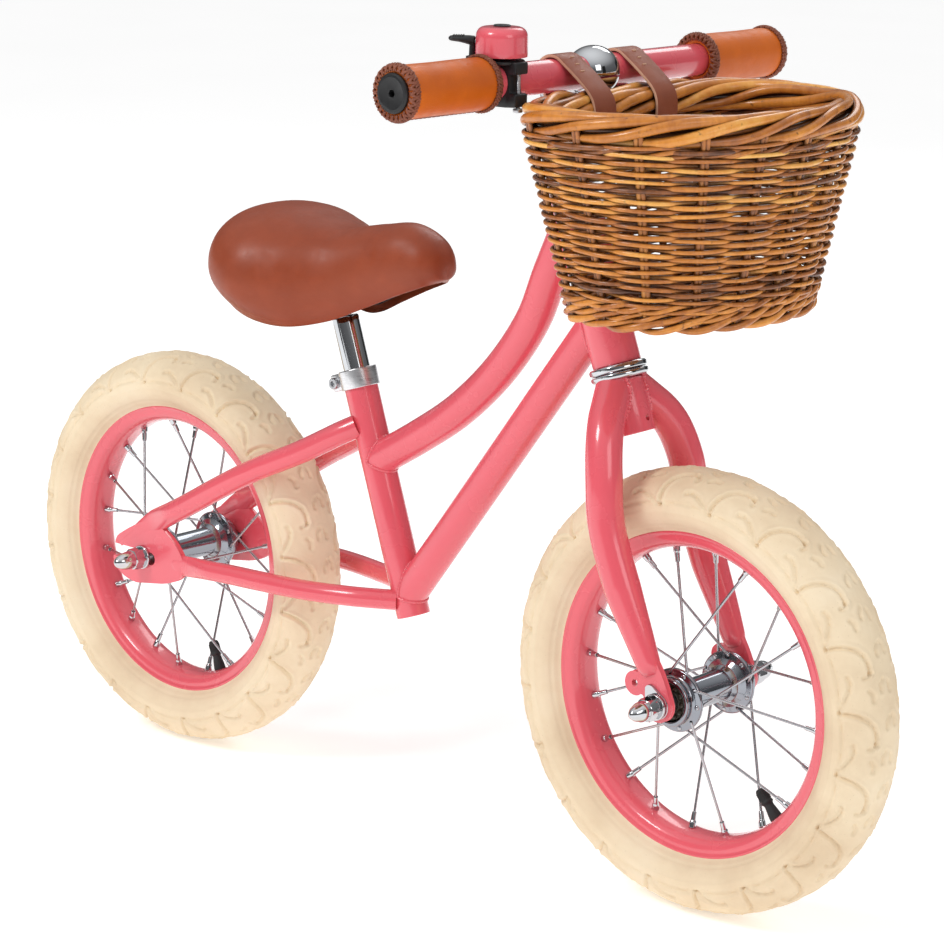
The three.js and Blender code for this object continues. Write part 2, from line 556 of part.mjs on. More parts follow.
// ---------------------------------------------------------------- basket and straps
// A rounded D: flat towards the rider, round in front.
function basketRing(t, z, inset, count = 32) {
  const mix = (key) => THREE.MathUtils.lerp(BASKET_FOOT[key], BASKET_TOP[key], t);
  const back = mix('back') + inset;
  const front = mix('front') - inset;
  const halfWidth = mix('halfWidth') - inset;
  const middle = back + (front - back) * 0.42;
  return Array.from({ length: count }, (_, i) => {
    const angle = (2 * Math.PI * i) / count;
    const c = Math.cos(angle);
    const s = Math.sin(angle);
    const power = c > 0 ? 0.92 : 0.55;
    const reach = c > 0 ? front - middle : middle - back;
    return v3(middle + Math.sign(c) * reach * Math.abs(c) ** power,
      Math.sign(s) * halfWidth * Math.abs(s) ** power, z);
  });
}
const rimDrop = 2 * BASKET.rimR + 2;
const rimZ = BASKET.topZ - BASKET.rimR;
const basket = loft([
  basketRing(0, BASKET.footZ, 0),
  basketRing(0.85, BASKET.topZ - rimDrop, 4),
  basketRing(0.95, rimZ, 0),
  basketRing(1, BASKET.topZ - 4, 3),
  basketRing(1, BASKET.topZ, 12),
  basketRing(1, BASKET.topZ - 4, 22),
  basketRing(0.9, BASKET.topZ - rimDrop, 14),
  basketRing(0, BASKET.footZ + BASKET.wall, BASKET.wall),
]);

// Each strap is a closed band over the bar and round the basket's back rim.
const strapT = 2.4;
const strapBand = (offset) => {
  const shape = new THREE.Shape();
  const r = BAR.r + 0.6 + offset;
  shape.moveTo(BAR.x - r, BAR.z);
  shape.absarc(BAR.x, BAR.z, r, Math.PI, radians(50), true);
  shape.lineTo(BASKET_TOP.back + 23.5 + offset, BASKET.topZ + 1.4 + offset * 0.5);
  shape.lineTo(BASKET_TOP.back + 26 + offset, BASKET.topZ - 34 - offset);
  shape.lineTo(BASKET_TOP.back - 12 - offset, BASKET.topZ - 34 - offset);
  shape.lineTo(BAR.x - r, BAR.z);
  return shape;
};
let basketCut = basket;
const straps = new THREE.Group();
for (const [side, sign] of sides) {
  const y0 = STRAP_Y - STRAP_WIDTH / 2;
  const y1 = STRAP_Y + STRAP_WIDTH / 2;
  const band = plate(strapBand(strapT), y0, y1, 6).subtract(plate(strapBand(0), y0 - 1, y1 + 1, 6));
  straps.add(piece(`basket_strap_${side}`, mirrorY(band, sign), brownLeather));
  const way = block(BASKET_TOP.back - 20, BASKET_TOP.back + 40, y0 - 1.5, y1 + 1.5,
    BASKET.topZ - 34 - strapT - 1.5, BASKET.topZ - 34 + 1.5);
  basketCut = basketCut.subtract(mirrorY(way, sign));
}

// ---------------------------------------------------------------- saddle
// Stations along the saddle: x, half width, height of the top, height of the lower edge.
const saddleStations = [
  [-194, 17, 424, 404], [-187, 44, 436, 393], [-168, 66, 448, 380], [-140, 73, 450, 370],
  [-110, 65, 445, 366], [-80, 46, 441, 372], [-50, 33, 446, 385], [-20, 26, 450, 399],
  [2, 20, 443, 409], [13, 9, 431, 417],
];
const station = (column) => new THREE.CatmullRomCurve3(
  saddleStations.map((row) => v3(row[0], row[column], 0)), false, 'centripetal');
const [widthCurve, topCurve, edgeCurve] = [1, 2, 3].map(station);
// One arch from edge to edge: widest a little above the lower edge, tucked in below, domed above.
function saddleSection(t, inset, ceiling) {
  const { x, y: w } = widthCurve.getPoint(t);
  const edge = edgeCurve.getPoint(t).y;
  const waist = edge + (topCurve.getPoint(t).y - edge) * 0.38;
  const rise = topCurve.getPoint(t).y - ceiling - waist;
  const half = Math.max(w - inset, 2);
  const tuck = radians(48);
  const count = 8;
  return Array.from({ length: count + 1 }, (_, i) => {
    const angle = -tuck + ((Math.PI + 2 * tuck) * i) / count;
    const c = Math.cos(angle);
    const steepness = Math.sin(angle) > 0 ? rise : (waist - edge) / Math.sin(tuck);
    const lift = steepness * Math.sin(angle);
    return v3(x, Math.sign(c) * half * Math.abs(c) ** 0.85, waist + lift);
  });
}
const saddleRings = (from, to, steps, inset, ceiling, drop) =>
  Array.from({ length: steps + 1 }, (_, i) => {
    const ring = saddleSection(THREE.MathUtils.lerp(from, to, i / steps), inset, ceiling);
    ring[0].z -= drop;
    ring.at(-1).z -= drop;
    return ring;
  });
const saddleOuter = loft(saddleRings(0, 1, 13, 0, 0, 0));
const saddleCavity = loft(saddleRings(0.12, 0.9, 6, 11, 24, 30));
const baseOuter = loft(saddleRings(0.14, 0.88, 6, 15.4, 28.8, 0));
const baseCavity = loft(saddleRings(0.14, 0.88, 6, 18.4, 32, 30).map((ring, i, rings) =>
  ring.map((p) => p.clone().setX(p.x + (i === 0 ? -2 : 0) + (i === rings.length - 1 ? 2 : 0)))));
const saddle = new THREE.Group();

// Rails run fore and aft under the base. The seat post ends in a cross barrel, and the clamp
// turns on the barrel to set the saddle's tilt.
const postTop = onSeat(56);
const railZ = postTop.z + 5;
const railY = 14;
const barrel = { r: 8, halfLength: 7.5, neckR: 5 };
const rail = (sign) => sweep([
  v3(-150, sign * 20, 404), v3(-128, sign * 18, railZ), v3(postTop.x - 18, sign * railY, railZ),
  v3(postTop.x + 18, sign * railY, railZ), v3(-50, sign * 9, railZ + 3), v3(-32, sign * 3, 402),
], 3.3, 8, 6);
const rails = rail(1).add(rail(-1)).add(rod(v3(-32, -5, 402), v3(-32, 5, 402), 3.3, 8))
  .add(rod(v3(-150, -24, 403.5), v3(-150, 24, 403.5), 3.3, 8));
const railRoom = (y) => rod(v3(postTop.x - 40, y, railZ), v3(postTop.x + 40, y, railZ), 4.2, 8);
const saddleClamp = block(postTop.x - 11, postTop.x + 11, -23, 23, postTop.z - 6, postTop.z + 11)
  .add(yRod(postTop.x, postTop.z, -27, 27, 5, 12))
  .subtract(railRoom(railY)).subtract(railRoom(-railY))
  .subtract(yRod(postTop.x, postTop.z, -barrel.halfLength - 0.6, barrel.halfLength + 0.6, barrel.r + 0.7, 20))
  .subtract(block(postTop.x - 9.2, postTop.x + 9.2, -7.4, 7.4, postTop.z - 8, postTop.z));
saddle.add(
  piece('saddle_cover', largest(saddleOuter.subtract(saddleCavity)), saddleLeather),
  piece('saddle_base', largest(baseOuter.subtract(baseCavity)), blackPlastic),
  piece('saddle_rails', rails, steel),
  piece('saddle_clamp', saddleClamp, steel),
);
const seatPost = rod(onSeat(-95), onSeat(42), POST_R, 14)
  .subtract(rod(onSeat(-96), onSeat(37), POST_R - 1.6, 14))
  .add(rod(onSeat(41), postTop, barrel.neckR, 10))
  .add(yRod(postTop.x, postTop.z, -barrel.halfLength, barrel.halfLength, barrel.r, 16));

// ---------------------------------------------------------------- assembly
cockpit.add(piece('stem', stem, chrome), piece('stem_expander', expander, steel));
steering.add(cockpit);
const rearWheel = wheel('rear', radians(-69));
rearWheel.position.copy(rearAxle);

const bike = new THREE.Group();
bike.add(frame, rearWheel, steering, bars, bell, straps, saddle);
bike.add(piece('basket', basketCut, wicker), piece('seat_post', seatPost, chrome));
export default bike;
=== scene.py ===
"""Looks for the balance bike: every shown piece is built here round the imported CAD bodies."""
import math

import bmesh
import bpy
import numpy as np
from mathutils import Matrix, Vector


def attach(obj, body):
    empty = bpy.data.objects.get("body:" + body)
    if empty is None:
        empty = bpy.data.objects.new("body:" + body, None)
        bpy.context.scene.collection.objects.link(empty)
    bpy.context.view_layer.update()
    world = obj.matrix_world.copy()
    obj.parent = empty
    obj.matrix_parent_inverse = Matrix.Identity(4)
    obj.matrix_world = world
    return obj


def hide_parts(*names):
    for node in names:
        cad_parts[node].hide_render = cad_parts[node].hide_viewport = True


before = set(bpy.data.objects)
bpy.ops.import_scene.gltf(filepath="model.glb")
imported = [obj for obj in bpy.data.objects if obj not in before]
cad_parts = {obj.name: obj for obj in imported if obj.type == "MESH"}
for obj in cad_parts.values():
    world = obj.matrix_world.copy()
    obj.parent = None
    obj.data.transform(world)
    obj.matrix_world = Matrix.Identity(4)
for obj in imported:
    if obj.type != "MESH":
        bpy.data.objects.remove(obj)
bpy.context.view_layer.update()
rng = np.random.default_rng(12)
MM = 0.001
TAU = 2 * math.pi

# ------------------------------------------------------------ main dimensions, in millimetres
WHEELBASE, WHEEL_R = 525.0, 158.0
HEAD_FOOT = np.array([178.4, 0, 371.3])
SEAT_TOP = np.array([-75.6, 0, 331.5])
BAR = np.array([146.5, 0, 577.0])
BAR_R, BAR_HALF, GRIP_R, GRIP_LENGTH = 11.5, 196.0, 18.5, 83.0
BELL_Y = -94.5
AXLES = {"rear": np.array([-WHEELBASE / 2, 0, WHEEL_R]), "front": np.array([WHEELBASE / 2, 0, WHEEL_R])}
VALVES = {"rear": math.radians(-69), "front": math.radians(-48)}
SIDES = ((1, "left"), (-1, "right"))
DROPOUT_IN, DROPOUT_OUT = 45, 49.5
X, Y, Z = np.eye(3)


def slanted(degrees):
    a = math.radians(degrees)
    return np.array([-math.cos(a), 0, math.sin(a)]), np.array([math.sin(a), 0, math.cos(a)])


HEAD_UP, HEAD_FORWARD = slanted(69)
SEAT_UP, SEAT_FORWARD = slanted(70.8)


def on_head(x, y, z):
    return HEAD_FOOT + x * HEAD_FORWARD + y * Y + z * HEAD_UP


def on_seat(x, y, z):
    return SEAT_TOP + x * SEAT_FORWARD + y * Y + z * SEAT_UP


def round_y(centre, r, angle, y=0.0):
    """A point at radius r and an angle round an axis along Y, and y along it from centre."""
    return centre + np.array([r * math.cos(angle), y, r * math.sin(angle)])


def span(side, near, far):
    """The range of y between two distances from the middle, on one side of the bike."""
    return (near, far) if side > 0 else (-far, -near)


# ------------------------------------------------------------ geometry
def unit(v):
    v = np.asarray(v, float)
    return v / np.linalg.norm(v)


class Shape:
    """Gathers strips of faces, in millimetres, into one mesh."""

    def __init__(self):
        self.verts, self.faces, self.slots, self.tone, self.along = [], [], [], [], []
        self.count = 0

    def grid(self, rows, loop=False, wrap=True, caps=True, slot=0, tone=0.5, along=None):
        rows = np.asarray(rows, float)
        n, m = rows.shape[:2]
        index = np.arange(n * m).reshape(n, m) + self.count
        a, b = (index, np.roll(index, -1, 0)) if loop else (index[:-1], index[1:])
        if wrap:
            quads = np.stack([a, np.roll(a, -1, 1), np.roll(b, -1, 1), b], -1)
        else:
            quads = np.stack([a[:, :-1], a[:, 1:], b[:, 1:], b[:, :-1]], -1)
        faces = quads.reshape(-1, 4).tolist()
        if caps and not loop:
            faces += [index[0][::-1].tolist(), index[-1].tolist()]
        self.faces += faces
        self.slots += [slot] * len(faces)
        self.verts.append(rows.reshape(-1, 3))
        self.tone.append(np.full(n * m, tone))
        self.along.append(np.repeat(along if along is not None else np.zeros(n), m))
        self.count += n * m
        return self

    def sweep(self, path, radius, sides=20, up=None, loop=False, **more):
        """A tube round path. radius is one number, one per point, or a pair for each point."""
        path = np.asarray(path, float)
        n = len(path)
        if loop:
            t = np.roll(path, -1, 0) - np.roll(path, 1, 0)
        else:
            t = np.gradient(path, axis=0)
        t /= np.linalg.norm(t, axis=1)[:, None]
        if up is not None:
            across = np.cross(t, np.asarray(up, float))
            across /= np.linalg.norm(across, axis=1)[:, None]
        else:
            across = np.zeros_like(path)
            seed = np.eye(3)[np.argmin(abs(t[0]))]
            current = unit(np.cross(t[0], seed))
            for i in range(n):
                current = unit(current - t[i] * (current @ t[i]))
                across[i] = current
        other = np.cross(across, t)
        r = np.asarray(radius, float)
        if r.ndim == 2:
            ra, rb = r[:, 0], r[:, 1]
        else:
            ra = rb = np.broadcast_to(r, (n,))
        angle = TAU * np.arange(sides) / sides
        rows = (path[:, None] + (ra[:, None] * np.cos(angle))[..., None] * across[:, None]
                + (rb[:, None] * np.sin(angle))[..., None] * other[:, None])
        step = np.linalg.norm(np.diff(path, axis=0), axis=1)
        along = np.concatenate([[0], np.cumsum(step)]) + more.pop("start", 0.0)
        return self.grid(rows, loop=loop, along=along, **more)

    def turned(self, profile, centre=(0, 0, 0), axis=Y, segments=64, loop=True, hexed=None, **more):
        """A turned piece: profile holds (radius, height) pairs.

        hexed cuts some of them to a hexagon. It gives the distance from the axis to a flat, by
        place in the profile.
        """
        axis = unit(axis)
        first = unit(np.cross(axis, Z if abs(axis @ Z) < 0.9 else X))
        second = np.cross(axis, first)
        angle = TAU * np.arange(segments) / segments
        ring = np.cos(angle)[:, None] * first + np.sin(angle)[:, None] * second
        rows = []
        for k, (r, h) in enumerate(profile):
            size = np.full(segments, float(r))
            if hexed and k in hexed:
                size = np.minimum(size, hexed[k] / np.cos(angle % (TAU / 6) - TAU / 12))
            rows.append(np.asarray(centre, float) + axis * h + ring * size[:, None])
        return self.grid(np.array(rows), loop=loop, caps=not loop, **more)

    def plate(self, outline, y0, y1, bevel=0.7, to_world=None, **more):
        """A flat plate with eased edges. The outline is (x, z) pairs, in order round it."""
        p = np.asarray(outline, float)
        before, after = np.roll(p, 1, 0), np.roll(p, -1, 0)
        edge = after - before
        normal = np.stack([edge[:, 1], -edge[:, 0]], 1)
        normal /= np.linalg.norm(normal, axis=1)[:, None] + 1e-9
        area = 0.5 * np.sum(p[:, 0] * after[:, 1] - after[:, 0] * p[:, 1])
        inward = -normal * (1 if area > 0 else -1)
        rows = []
        for y, inset in ((y0, bevel), (y0 + 0.3 * bevel, 0.3 * bevel), (y0 + bevel, 0),
                         (y1 - bevel, 0), (y1 - 0.3 * bevel, 0.3 * bevel), (y1, bevel)):
            q = p + inward * inset
            if to_world:
                rows.append([to_world(x, y, z) for x, z in q])
            else:
                rows.append(np.stack([q[:, 0], np.full(len(q), y), q[:, 1]], 1))
        return self.grid(np.array(rows), **more)

    def mesh(self, name):
        me = bpy.data.meshes.new(name)
        me.from_pydata((np.concatenate(self.verts) * MM).tolist(), [], self.faces)
        me.polygons.foreach_set("material_index", self.slots)
        for key, values in (("tone", self.tone), ("along", self.along)):
            layer = me.attributes.new(key, "FLOAT", "POINT")
            layer.data.foreach_set("value", np.concatenate(values).astype(np.float32))
        bm = bmesh.new()
        bm.from_mesh(me)
        bmesh.ops.recalc_face_normals(bm, faces=bm.faces)
        bm.to_mesh(me)
        bm.free()
        return me


def thing(name, shape):
    obj = bpy.data.objects.new(name, shape.mesh(name))
    bpy.context.scene.collection.objects.link(obj)
    return obj


def smooth(obj, angle=38):
    obj.data.polygons.foreach_set("use_smooth", [True] * len(obj.data.polygons))
    obj.data.set_sharp_from_angle(angle=math.radians(angle))


def combine(obj, other, how="DIFFERENCE"):
    """Cuts obj with other, or joins them, and leaves the result in obj's mesh."""
    modifier = obj.modifiers.new("combine", "BOOLEAN")
    modifier.operation = how
    modifier.solver = "EXACT"
    modifier.use_self = True
    modifier.object = other
    bpy.context.view_layer.update()
    evaluated = obj.evaluated_get(bpy.context.evaluated_depsgraph_get())
    result = bpy.data.meshes.new_from_object(evaluated)
    obj.modifiers.clear()
    obj.data = result
    bpy.data.objects.remove(other)
    return obj


def placed(obj, body, materials, stands_for=(), angle=38):
    """Gives a finished piece its materials and its body."""
    for m in materials if isinstance(materials, (list, tuple)) else [materials]:
        obj.data.materials.append(m)
    smooth(obj, angle)
    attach(obj, body)
    if stands_for:
        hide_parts(*([stands_for] if isinstance(stands_for, str) else stands_for))
    return obj


def made(name, shape, body, materials, stands_for=(), angle=38):
    """Makes a finished piece from a shape."""
    return placed(thing(name, shape), body, materials, stands_for, angle)


def spline(points, count):
    """Evenly spaced points on a smooth curve through points."""
    p = np.asarray(points, float)
    p = np.vstack([2 * p[0] - p[1], p, 2 * p[-1] - p[-2]])
    fine = []
    for i in range(1, len(p) - 2):
        p0, p1, p2, p3 = p[i - 1:i + 3]
        d1, d2, d3 = (np.linalg.norm(b - a) ** 0.5 for a, b in ((p0, p1), (p1, p2), (p2, p3)))
        m1 = (p1 - p0) / d1 - (p2 - p0) / (d1 + d2) + (p2 - p1) / d2
        m2 = (p2 - p1) / d2 - (p3 - p1) / (d2 + d3) + (p3 - p2) / d3
        t = np.linspace(0, 1, 24, endpoint=False)[:, None]
        h00, h10 = 2 * t**3 - 3 * t**2 + 1, t**3 - 2 * t**2 + t
        h01, h11 = -2 * t**3 + 3 * t**2, t**3 - t**2
        fine.append(h00 * p1 + h10 * m1 * d2 + h01 * p2 + h11 * m2 * d2)
    fine = np.vstack([*fine, p[-2]])
    return resample(fine, count)


def resample(points, count, closed=False):
    p = np.asarray(points, float)
    if closed:
        p = np.vstack([p, p[0]])
    s = np.concatenate([[0], np.cumsum(np.linalg.norm(np.diff(p, axis=0), axis=1))])
    at = np.linspace(0, s[-1], count + 1 if closed else count)
    out = np.stack([np.interp(at, s, p[:, k]) for k in range(3)], 1)
    return out[:-1] if closed else out


def eased(profile, r, closed=True, steps=3):
    """The same profile with its corners rounded."""
    p = [np.array(q, float) for q in profile]
    n = len(p)
    out = []
    for i in range(n):
        if not closed and i in (0, n - 1):
            out.append(p[i])
            continue
        a, b, c = p[i - 1], p[i], p[(i + 1) % n]
        la, lc = np.linalg.norm(a - b), np.linalg.norm(c - b)
        start = b + (a - b) * min(r / max(la, 1e-6), 0.45)
        end = b + (c - b) * min(r / max(lc, 1e-6), 0.45)
        for k in range(steps + 1):
            t = k / steps
            out.append((1 - t) ** 2 * start + 2 * t * (1 - t) * b + t * t * end)
    return out


def mirror(profile):
    return list(profile) + [(r, -h) for r, h in reversed(profile)]


def hit(points, direction, axis_point, axis, radius):
    """Where lines from points meet a round tube, going along direction."""
    d, a = unit(direction), unit(axis)
    flat = d - a * (d @ a)
    out = []
    for p in points:
        w = p - axis_point
        w = w - a * (w @ a)
        qa, qb, qc = flat @ flat, 2 * (w @ flat), w @ w - radius * radius
        root = max(qb * qb - 4 * qa * qc, 0.0)
        out.append(p + d * ((-qb - math.sqrt(root)) / (2 * qa)))
    return np.array(out)


def box_shape(lo, hi, ease=0.8, to_world=None):
    """A block with eased edges."""
    (x0, y0, z0), (x1, y1, z1) = lo, hi
    outline = eased([(x0, z0), (x1, z0), (x1, z1), (x0, z1)], ease)
    return Shape().plate(outline, y0, y1, bevel=ease * 0.6, to_world=to_world)


# ------------------------------------------------------------ materials
def add_node(tree, kind, inputs=None, **props):
    """A shader node with its inputs linked where they are sockets, and set where they are not."""
    node = tree.nodes.new("ShaderNode" + kind)
    for key, value in props.items():
        setattr(node, key, value)
    for key, value in (inputs or {}).items():
        if isinstance(value, bpy.types.NodeSocket):
            tree.links.new(value, node.inputs[key])
        else:
            node.inputs[key].default_value = value
    return node


class Surface:
    """A procedural material built round one Principled shader."""

    def __init__(self, name, **fixed):
        self.material = bpy.data.materials.new(name)
        self.material.use_nodes = True
        self.tree = self.material.node_tree
        self.shader = self.tree.nodes["Principled BSDF"]
        for key, value in fixed.items():
            self.shader.inputs[key.replace("_", " ")].default_value = value
        self.place = self.node("TexCoord").outputs["Object"]

    def node(self, kind, inputs=None, **props):
        return add_node(self.tree, kind, inputs, **props)

    def noise(self, scale, detail=3.0, roughness=0.5, where=None):
        return self.node("TexNoise", {"Vector": where or self.place, "Scale": scale, "Detail": detail,
                                      "Roughness": roughness}).outputs["Fac"]

    def cells(self, scale):
        return self.node("TexVoronoi", {"Vector": self.place, "Scale": scale}).outputs["Distance"]

    def stretched(self, x, y, z):
        return self.node("Mapping", {"Vector": self.place, "Scale": (x, y, z)}).outputs["Vector"]

    def ramp(self, value, stops):
        ramp = self.node("ValToRGB", {"Fac": value})
        elements = ramp.color_ramp.elements
        while len(elements) < len(stops):
            elements.new(0.5)
        for element, (at, colour) in zip(elements, stops):
            element.position = at
            element.color = (*colour, 1) if len(colour) == 3 else colour
        return ramp.outputs["Color"]

    def span(self, value, low, high, start=0.3, end=0.7):
        """Takes values between start and end to values between low and high."""
        return self.node("MapRange", {"Value": value, "From Min": start, "From Max": end,
                                      "To Min": low, "To Max": high}).outputs["Result"]

    def math(self, how, a, b=0.0):
        return self.node("Math", {0: a, 1: b}, operation=how).outputs[0]

    def mix(self, share, a, b):
        return self.node("Mix", {0: share, 6: a, 7: b}, data_type="RGBA").outputs[2]

    def attribute(self, name):
        return self.node("Attribute", attribute_name=name).outputs["Fac"]

    def link(self, value, socket):
        self.tree.links.new(value, self.shader.inputs[socket])

    def bump(self, *layers):
        """Each layer is (height, strength, depth in metres)."""
        normal = None
        for height, strength, depth in layers:
            inputs = {"Height": height, "Strength": strength, "Distance": depth}
            if normal is not None:
                inputs["Normal"] = normal
            normal = self.node("Bump", inputs).outputs["Normal"]
        self.link(normal, "Normal")
        return self.material


def paint_material():
    s = Surface("coral_enamel", Coat_Weight=0.7, Coat_Roughness=0.06, Coat_IOR=1.5)
    drift = s.noise(6, 2)
    s.link(s.ramp(drift, [(0.3, (0.76, 0.098, 0.132)), (0.7, (0.82, 0.115, 0.150))]), "Base Color")
    s.link(s.span(s.noise(55, 3), 0.20, 0.30), "Roughness")
    return s.bump((s.noise(420, 2), 0.03, 0.0001), (s.noise(60, 2), 0.02, 0.0003))


def chrome_material(name, tint, low, high, scale=45):
    s = Surface(name, Metallic=1.0)
    s.link(s.ramp(s.noise(18, 4), [(0.3, tuple(0.9 * c for c in tint)), (0.7, tint)]), "Base Color")
    s.link(s.span(s.noise(scale, 5, 0.65), low, high), "Roughness")
    return s.bump((s.noise(260, 4), 0.05, 0.0002))


def brushed_material(name, tint):
    s = Surface(name, Metallic=1.0)
    lines = s.noise(1.0, 4, 0.6, s.stretched(90, 90, 3200))
    s.link(s.ramp(lines, [(0.35, tuple(0.78 * c for c in tint)), (0.65, tint)]), "Base Color")
    s.link(s.span(lines, 0.24, 0.40), "Roughness")
    return s.bump((lines, 0.10, 0.00005))


def tyre_material():
    s = Surface("cream_rubber", Specular_IOR_Level=0.35)
    cloud = s.noise(14, 5, 0.6)
    base = s.ramp(cloud, [(0.3, (0.72, 0.56, 0.375)), (0.55, (0.83, 0.68, 0.475)),
                          (0.75, (0.88, 0.75, 0.555))])
    specks = s.span(s.cells(230), 1.0, 0.0, 0.03, 0.12)
    s.link(s.mix(s.math("MULTIPLY", specks, 0.25), base, (0.42, 0.30, 0.16, 1)), "Base Color")
    s.link(s.span(s.noise(160, 3), 0.5, 0.68), "Roughness")
    return s.bump((s.noise(900, 3), 0.25, 0.0003), (s.noise(90, 3), 0.15, 0.0006))


def plastic_material(name, colour, rough):
    s = Surface(name, Specular_IOR_Level=0.45)
    s.link(s.ramp(s.noise(30, 3), [(0.3, colour), (0.7, tuple(1.6 * c + 0.004 for c in colour))]),
           "Base Color")
    s.link(s.span(s.noise(300, 2), rough - 0.06, rough + 0.08), "Roughness")
    return s.bump((s.cells(1400), 0.12, 0.0002), (s.noise(80, 2), 0.08, 0.0005))


def leather_material(name, dark, light, rough, grain=900, depth=0.00035, strength=0.3):
    s = Surface(name, Specular_IOR_Level=0.36)
    blotch = s.noise(16, 5, 0.62)
    pores = s.cells(grain)
    colour = s.ramp(blotch, [(0.28, dark), (0.72, light)])
    worn = s.span(s.noise(70, 4), 0.0, 0.35, 0.45, 0.8)
    s.link(s.mix(worn, colour, (*[min(1.0, 1.25 * c) for c in light], 1)), "Base Color")
    s.link(s.span(s.noise(120, 3), rough - 0.07, rough + 0.09), "Roughness")
    return s.bump((pores, strength, depth), (s.noise(45, 3), 0.12, 0.0008))


def wicker_material():
    s = Surface("varnished_willow", Coat_Weight=0.6, Coat_Roughness=0.18, Specular_IOR_Level=0.4)
    tone, along = s.attribute("tone"), s.attribute("along")
    # Fine fibres run along each rod: a noise squeezed across the rod and stretched along it.
    fibre_place = s.node("CombineXYZ",
                         {0: s.math("MULTIPLY", along, 0.035), 1: s.math("MULTIPLY", tone, 90.0)})
    around = s.node("VectorMath", {0: fibre_place.outputs[0], 1: s.stretched(260, 260, 260)},
                    operation="ADD")
    fibre = s.noise(1.0, 4, 0.6, around.outputs[0])
    blotch = s.noise(1.0, 4, 0.65, fibre_place.outputs[0])
    value = s.math("ADD", tone, s.math("MULTIPLY", s.math("SUBTRACT", blotch, 0.5), 0.75))
    value = s.math("ADD", value, s.math("MULTIPLY", s.math("SUBTRACT", fibre, 0.5), 0.28))
    colour = s.ramp(value, [(0.02, (0.030, 0.010, 0.005)), (0.25, (0.120, 0.036, 0.010)),
                            (0.5, (0.43, 0.130, 0.014)), (0.75, (0.72, 0.27, 0.034)),
                            (1.0, (0.88, 0.48, 0.11))])
    knots = s.span(s.noise(210, 2, 0.5), 0.0, 0.7, 0.66, 0.78)
    # Painted shade: an ambient occlusion node darkens the colour towards near black where rods lie close
    # together.
    occlusion = s.node("AmbientOcclusion", {"Distance": 0.012}, samples=6).outputs["AO"]
    gap_shaded = s.mix(s.span(occlusion, 0.85, 0.0, 0.25, 0.85), colour, (0.030, 0.009, 0.004, 1))
    s.link(s.mix(knots, gap_shaded, (0.07, 0.022, 0.008, 1)), "Base Color")
    s.link(s.span(fibre, 0.32, 0.5), "Roughness")
    return s.bump((fibre, 0.35, 0.0004), (s.noise(150, 3), 0.2, 0.0006))


paint = paint_material()
chrome = chrome_material("chrome", (0.63, 0.645, 0.67), 0.03, 0.12)
# Painted shade: the hub's chrome is a darker copy of the chrome, standing in for the dark reflections on
# the hub barrel.
shaded_hub_chrome = chrome_material("shaded_hub_chrome", (0.34, 0.36, 0.40), 0.08, 0.20)
spoke_steel = chrome_material("spoke_steel", (0.50, 0.51, 0.54), 0.18, 0.32, 120)
steel = chrome_material("zinc_steel", (0.55, 0.56, 0.58), 0.26, 0.42, 160)
grease = plastic_material("greasy_steel", (0.03, 0.022, 0.014), 0.25)
aluminium = brushed_material("brushed_aluminium", (0.90, 0.90, 0.92))
cream = tyre_material()
black = plastic_material("black_plastic", (0.010, 0.010, 0.011), 0.42)
rubber = plastic_material("black_rubber", (0.014, 0.014, 0.015), 0.6)
tan = leather_material("tan_leather", (0.53, 0.100, 0.005), (0.65, 0.142, 0.008), 0.44)
lace = leather_material("brown_lace", (0.15, 0.040, 0.020), (0.27, 0.088, 0.050), 0.45, 1500)
strap = leather_material("strap_leather", (0.23, 0.060, 0.030), (0.30, 0.085, 0.042), 0.42, 1100)
strap_edge = leather_material("cut_leather_edge", (0.52, 0.28, 0.18), (0.68, 0.42, 0.29), 0.65, 1300)
saddle_skin = leather_material("saddle_leather", (0.265, 0.046, 0.015), (0.315, 0.060, 0.021), 0.40, 900,
                               0.0002, 0.14)
wicker = wicker_material()

# ------------------------------------------------------------ wheels
SPOKES, FLANGE_Y, FLANGE_HOLES_R = 20, 29.0, 19.6
TREAD_UNITS, TREAD_SEGMENTS, TREAD_R = 20, 936, 150
UNIT_LENGTH, SHOULDER_WIDTH = TAU / TREAD_UNITS * TREAD_R, 38.0
GROOVE_WIDTH, LIP_SHARE, LIP_AT, LIP_WIDTH = 1.25, 0.35, 2.6, 1.2
# Grooves of one tread unit. Each point is a share of the unit round the tyre, and a share of the
# way from the side wall to the crown. The last number is how deep the groove is, in millimetres.
GROOVES = [
    ([(0.00, 0.00), (0.00, 0.18), (0.04, 0.36), (0.12, 0.53), (0.23, 0.65), (0.36, 0.70), (0.48, 0.68)],
     2.0),
    ([(0.48, 0.68), (0.53, 0.63), (0.53, 0.56)], 1.5),
    ([(1.00, 0.00), (0.91, 0.08), (0.80, 0.18), (0.68, 0.27), (0.56, 0.31), (0.47, 0.28)], 1.7),
    ([(0.00, 0.00), (0.08, 0.05), (0.30, 0.08), (0.60, 0.08), (0.88, 0.04), (1.00, 0.00)], 1.3),
    ([(0.72, 0.62), (0.78, 0.68), (0.87, 0.67)], 1.6),
    ([(0.60, 0.92), (0.66, 0.86), (0.75, 0.86)], 1.4),
    ([(0.12, 1.00), (0.18, 0.93), (0.27, 0.93)], 1.4),
]


def line_distance(u, w, line):
    """Distance in millimetres from points on the shoulder to a line of points."""
    best = np.full(u.shape, 1e9)
    for (ax, ay), (bx, by) in zip(line[:-1], line[1:]):
        dx, dy = bx - ax, by - ay
        t = np.clip(((u - ax) * dx + (w - ay) * dy) / (dx * dx + dy * dy), 0, 1)
        best = np.minimum(best, np.hypot(u - ax - t * dx, w - ay - t * dy))
    return best


